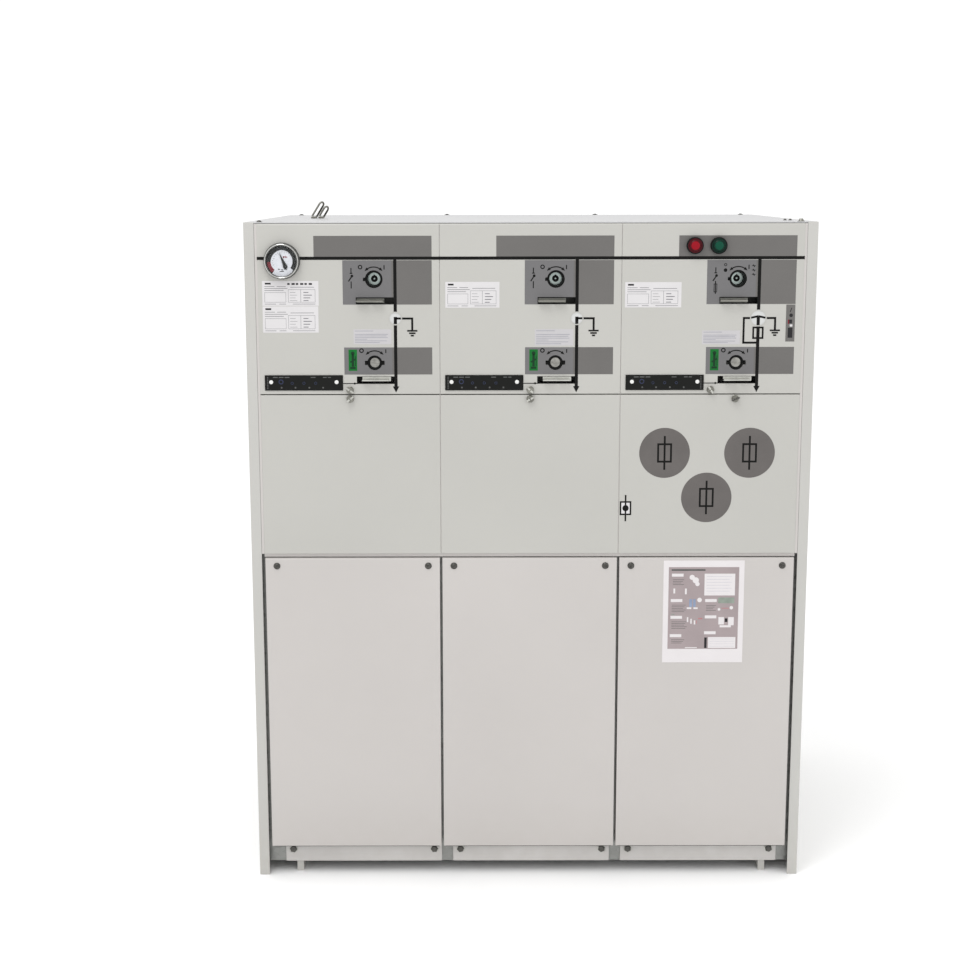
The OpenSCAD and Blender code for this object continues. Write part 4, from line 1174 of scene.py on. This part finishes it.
fuseDiscs = {"spots": ((255, 847), (416, 847), (336, 761)), "radius": 48.0, "halfWidth": 14.0,
             "halfHeight": 18.5, "line": 32.5, "stroke": 3.6}
smallFuse = {"x": 182.5, "z": 740.5, "halfWidth": 11.0, "halfHeight": 13.5, "line": 25.5, "stroke": 3.0,
             "dot": 6.0}


def addFuseSign(bm, x, z, back, look):
    # a box with a line through it
    addFrame(bm, x - look["halfWidth"], x + look["halfWidth"], z - look["halfHeight"], z + look["halfHeight"],
             look["stroke"], back, faceY - 0.2)
    addStroke(bm, x, z - look["line"], x, z + look["line"], look["stroke"], back, faceY - 0.23)


discs, signs = bmesh.new(), bmesh.new()
back = faceY + 0.05
for x, z in fuseDiscs["spots"]:
    addDisc(discs, x, z, back, faceY - 0.12, fuseDiscs["radius"], steps=96)
    addFuseSign(signs, x, z, back, fuseDiscs)
makePiece("fuse_discs", discs, discPrint)
x, z = smallFuse["x"], smallFuse["z"]
addFuseSign(signs, x, z, back, smallFuse)
addDisc(signs, x, z, back, faceY - 0.26, smallFuse["dot"], steps=32)
makePiece("fuse_signs", signs, blackPrint)
bm = bmesh.new()
addBlock(bm, x - smallFuse["halfWidth"] + 2, x + smallFuse["halfWidth"] - 2, faceY - 0.14, back,
         z - smallFuse["halfHeight"] + 2, z + smallFuse["halfHeight"] - 2)
makePiece("small_fuse_field", bm, stickerPaper)

# marks in the narrow grey stem beside the fuse module's window
stem = {"x": 146.5, "disc": (1, 1107, 3.4), "stroke": (-1, 1113, 2, 1121, 1.4),
        "dark": ((-2.4, 3.2, 1092, 1099), (-4.4, 4.4, 1065, 1084)), "bright": ((-1, 4, 1086, 1090),),
        "rose": ((-4.6, -2.6, 1091, 1099),)}
stemX, stemAhead = moduleX[fuseModule] + stem["x"], faceY - 0.2
dark, bright, rose = bmesh.new(), bmesh.new(), bmesh.new()
x, z, radius = stem["disc"]
addDisc(dark, stemX + x, z, back, stemAhead, radius, steps=24)
x0, z0, x1, z1, width = stem["stroke"]
addStroke(dark, stemX + x0, z0, stemX + x1, z1, width, back, stemAhead)
for key, marks in (("dark", dark), ("bright", bright), ("rose", rose)):
    for x0, x1, z0, z1 in stem[key]:
        addBlock(marks, stemX + x0, stemX + x1, stemAhead, back, z0, z1)
makePiece("stem_dark_marks", dark, darkInk)
makePiece("stem_bright_mark", bright, stickerPaper)
makePiece("stem_red_mark", rose, redInk)
print("fuse signs made")


# instruction sheet on the fuse module's cable cover; places are shares of its picture

sheet = {"x0": 257, "x1": 412, "z0": 437, "z1": 639, "picture": (267, 402, 464, 626), "lift": 0.3}
x0, x1, z0, z1 = sheet["picture"]


def addShare(bm, left, right, low, high, lift):
    addBlock(bm, x0 + left * (x1 - x0), x0 + right * (x1 - x0), cableY - lift, cableY, z0 + low * (z1 - z0),
             z0 + high * (z1 - z0))


bm = bmesh.new()
addBlock(bm, sheet["x0"], sheet["x1"], cableY - sheet["lift"], cableY + 0.05, sheet["z0"], sheet["z1"])
makePiece("instruction_sheet", bm, posterPaper)
bm = bmesh.new()
addShare(bm, 0, 1, 0, 1, sheet["lift"] + 0.06)
makePiece("instruction_picture", bm, posterPrint)
picture = {
    "labels": ((0.045, 0.885), (0.035, 0.575), (0.035, 0.37), (0.03, 0.145), (0.525, 0.575), (0.525, 0.375),
               (0.52, 0.18)),
    "labelSize": (0.165, 0.036),
    "boxes": ((0.51, 0.945, 0.655, 0.92), (0.58, 0.97, 0.01, 0.145), (0.07, 0.095, 0.68, 0.74),
              (0.235, 0.26, 0.67, 0.74), (0.265, 0.33, 0.49, 0.51), (0.36, 0.42, 0.49, 0.51),
              (0.72, 0.80, 0.30, 0.39), (0.86, 0.94, 0.29, 0.39), (0.74, 0.90, 0.265, 0.29),
              (0.27, 0.29, 0.33, 0.39), (0.32, 0.34, 0.31, 0.37), (0.37, 0.39, 0.30, 0.35),
              (0.25, 0.42, 0.01, 0.02)),
    "spots": ((0.333, 0.876, 5.0), (0.385, 0.84, 6.0), (0.41, 0.795, 4.2), (0.445, 0.60, 4.4),
              (0.725, 0.485, 2.6), (0.90, 0.505, 3.4)),
    "blue": ((0.30, 0.34, 0.515, 0.61), (0.355, 0.39, 0.515, 0.61)),
    "green": ((0.71, 0.94, 0.56, 0.63), (0.05, 0.09, 0.42, 0.43)),
    "dark": ((0.81, 0.85, 0.33, 0.375), (0.525, 0.56, 0.01, 0.14)),
    "red": ((0.76, 0.87, 0.495, 0.503), (0.43, 0.49, 0.365, 0.38), (0.40, 0.41, 0.31, 0.35)),
    "text": ((0.06, 0.22, 0.845, 4), (0.05, 0.25, 0.535, 5), (0.05, 0.27, 0.33, 5), (0.05, 0.24, 0.11, 3),
             (0.54, 0.68, 0.53, 4)),
}
bm = bmesh.new()
for area in picture["boxes"]:
    addShare(bm, *area, sheet["lift"] + 0.1)
for left, low in picture["labels"]:
    addShare(bm, left, left + picture["labelSize"][0], low, low + picture["labelSize"][1],
             sheet["lift"] + 0.1)
for k, (across, up, radius) in enumerate(picture["spots"]):
    addDisc(bm, x0 + across * (x1 - x0), z0 + up * (z1 - z0), cableY,
            cableY - sheet["lift"] - 0.11 - 0.01 * k, radius, steps=28)
makePiece("instruction_white_areas", bm, posterPaper)
for part, finish in (("blue", blueInk), ("green", sageInk), ("dark", darkInk), ("red", roseInk)):
    bm = bmesh.new()
    for area in picture[part]:
        addShare(bm, *area, sheet["lift"] + 0.12)
    makePiece(f"instruction_{part}_drawing", bm, finish)
bm = bmesh.new()
addShare(bm, 0.04, 0.52, 0.955, 0.975, sheet["lift"] + 0.1)
for left, right, top, count in picture["text"]:
    for k in range(count):
        addShare(bm, left, right - 0.02 * (k % 3), top - k * 0.02, top - k * 0.02 + 0.005,
                 sheet["lift"] + 0.09)
makePiece("instruction_text_lines", bm, faintInk)
bm = bmesh.new()
for k in range(6):
    addShare(bm, 0.54, 0.90 - 0.03 * (k % 2), 0.885 - k * 0.036, 0.890 - k * 0.036, sheet["lift"] + 0.13)
for k in range(4):
    addShare(bm, 0.60, 0.95, 0.03 + k * 0.03, 0.033 + k * 0.03, sheet["lift"] + 0.13)
makePiece("instruction_box_lines", bm, paperInk)
print("instruction sheet made")
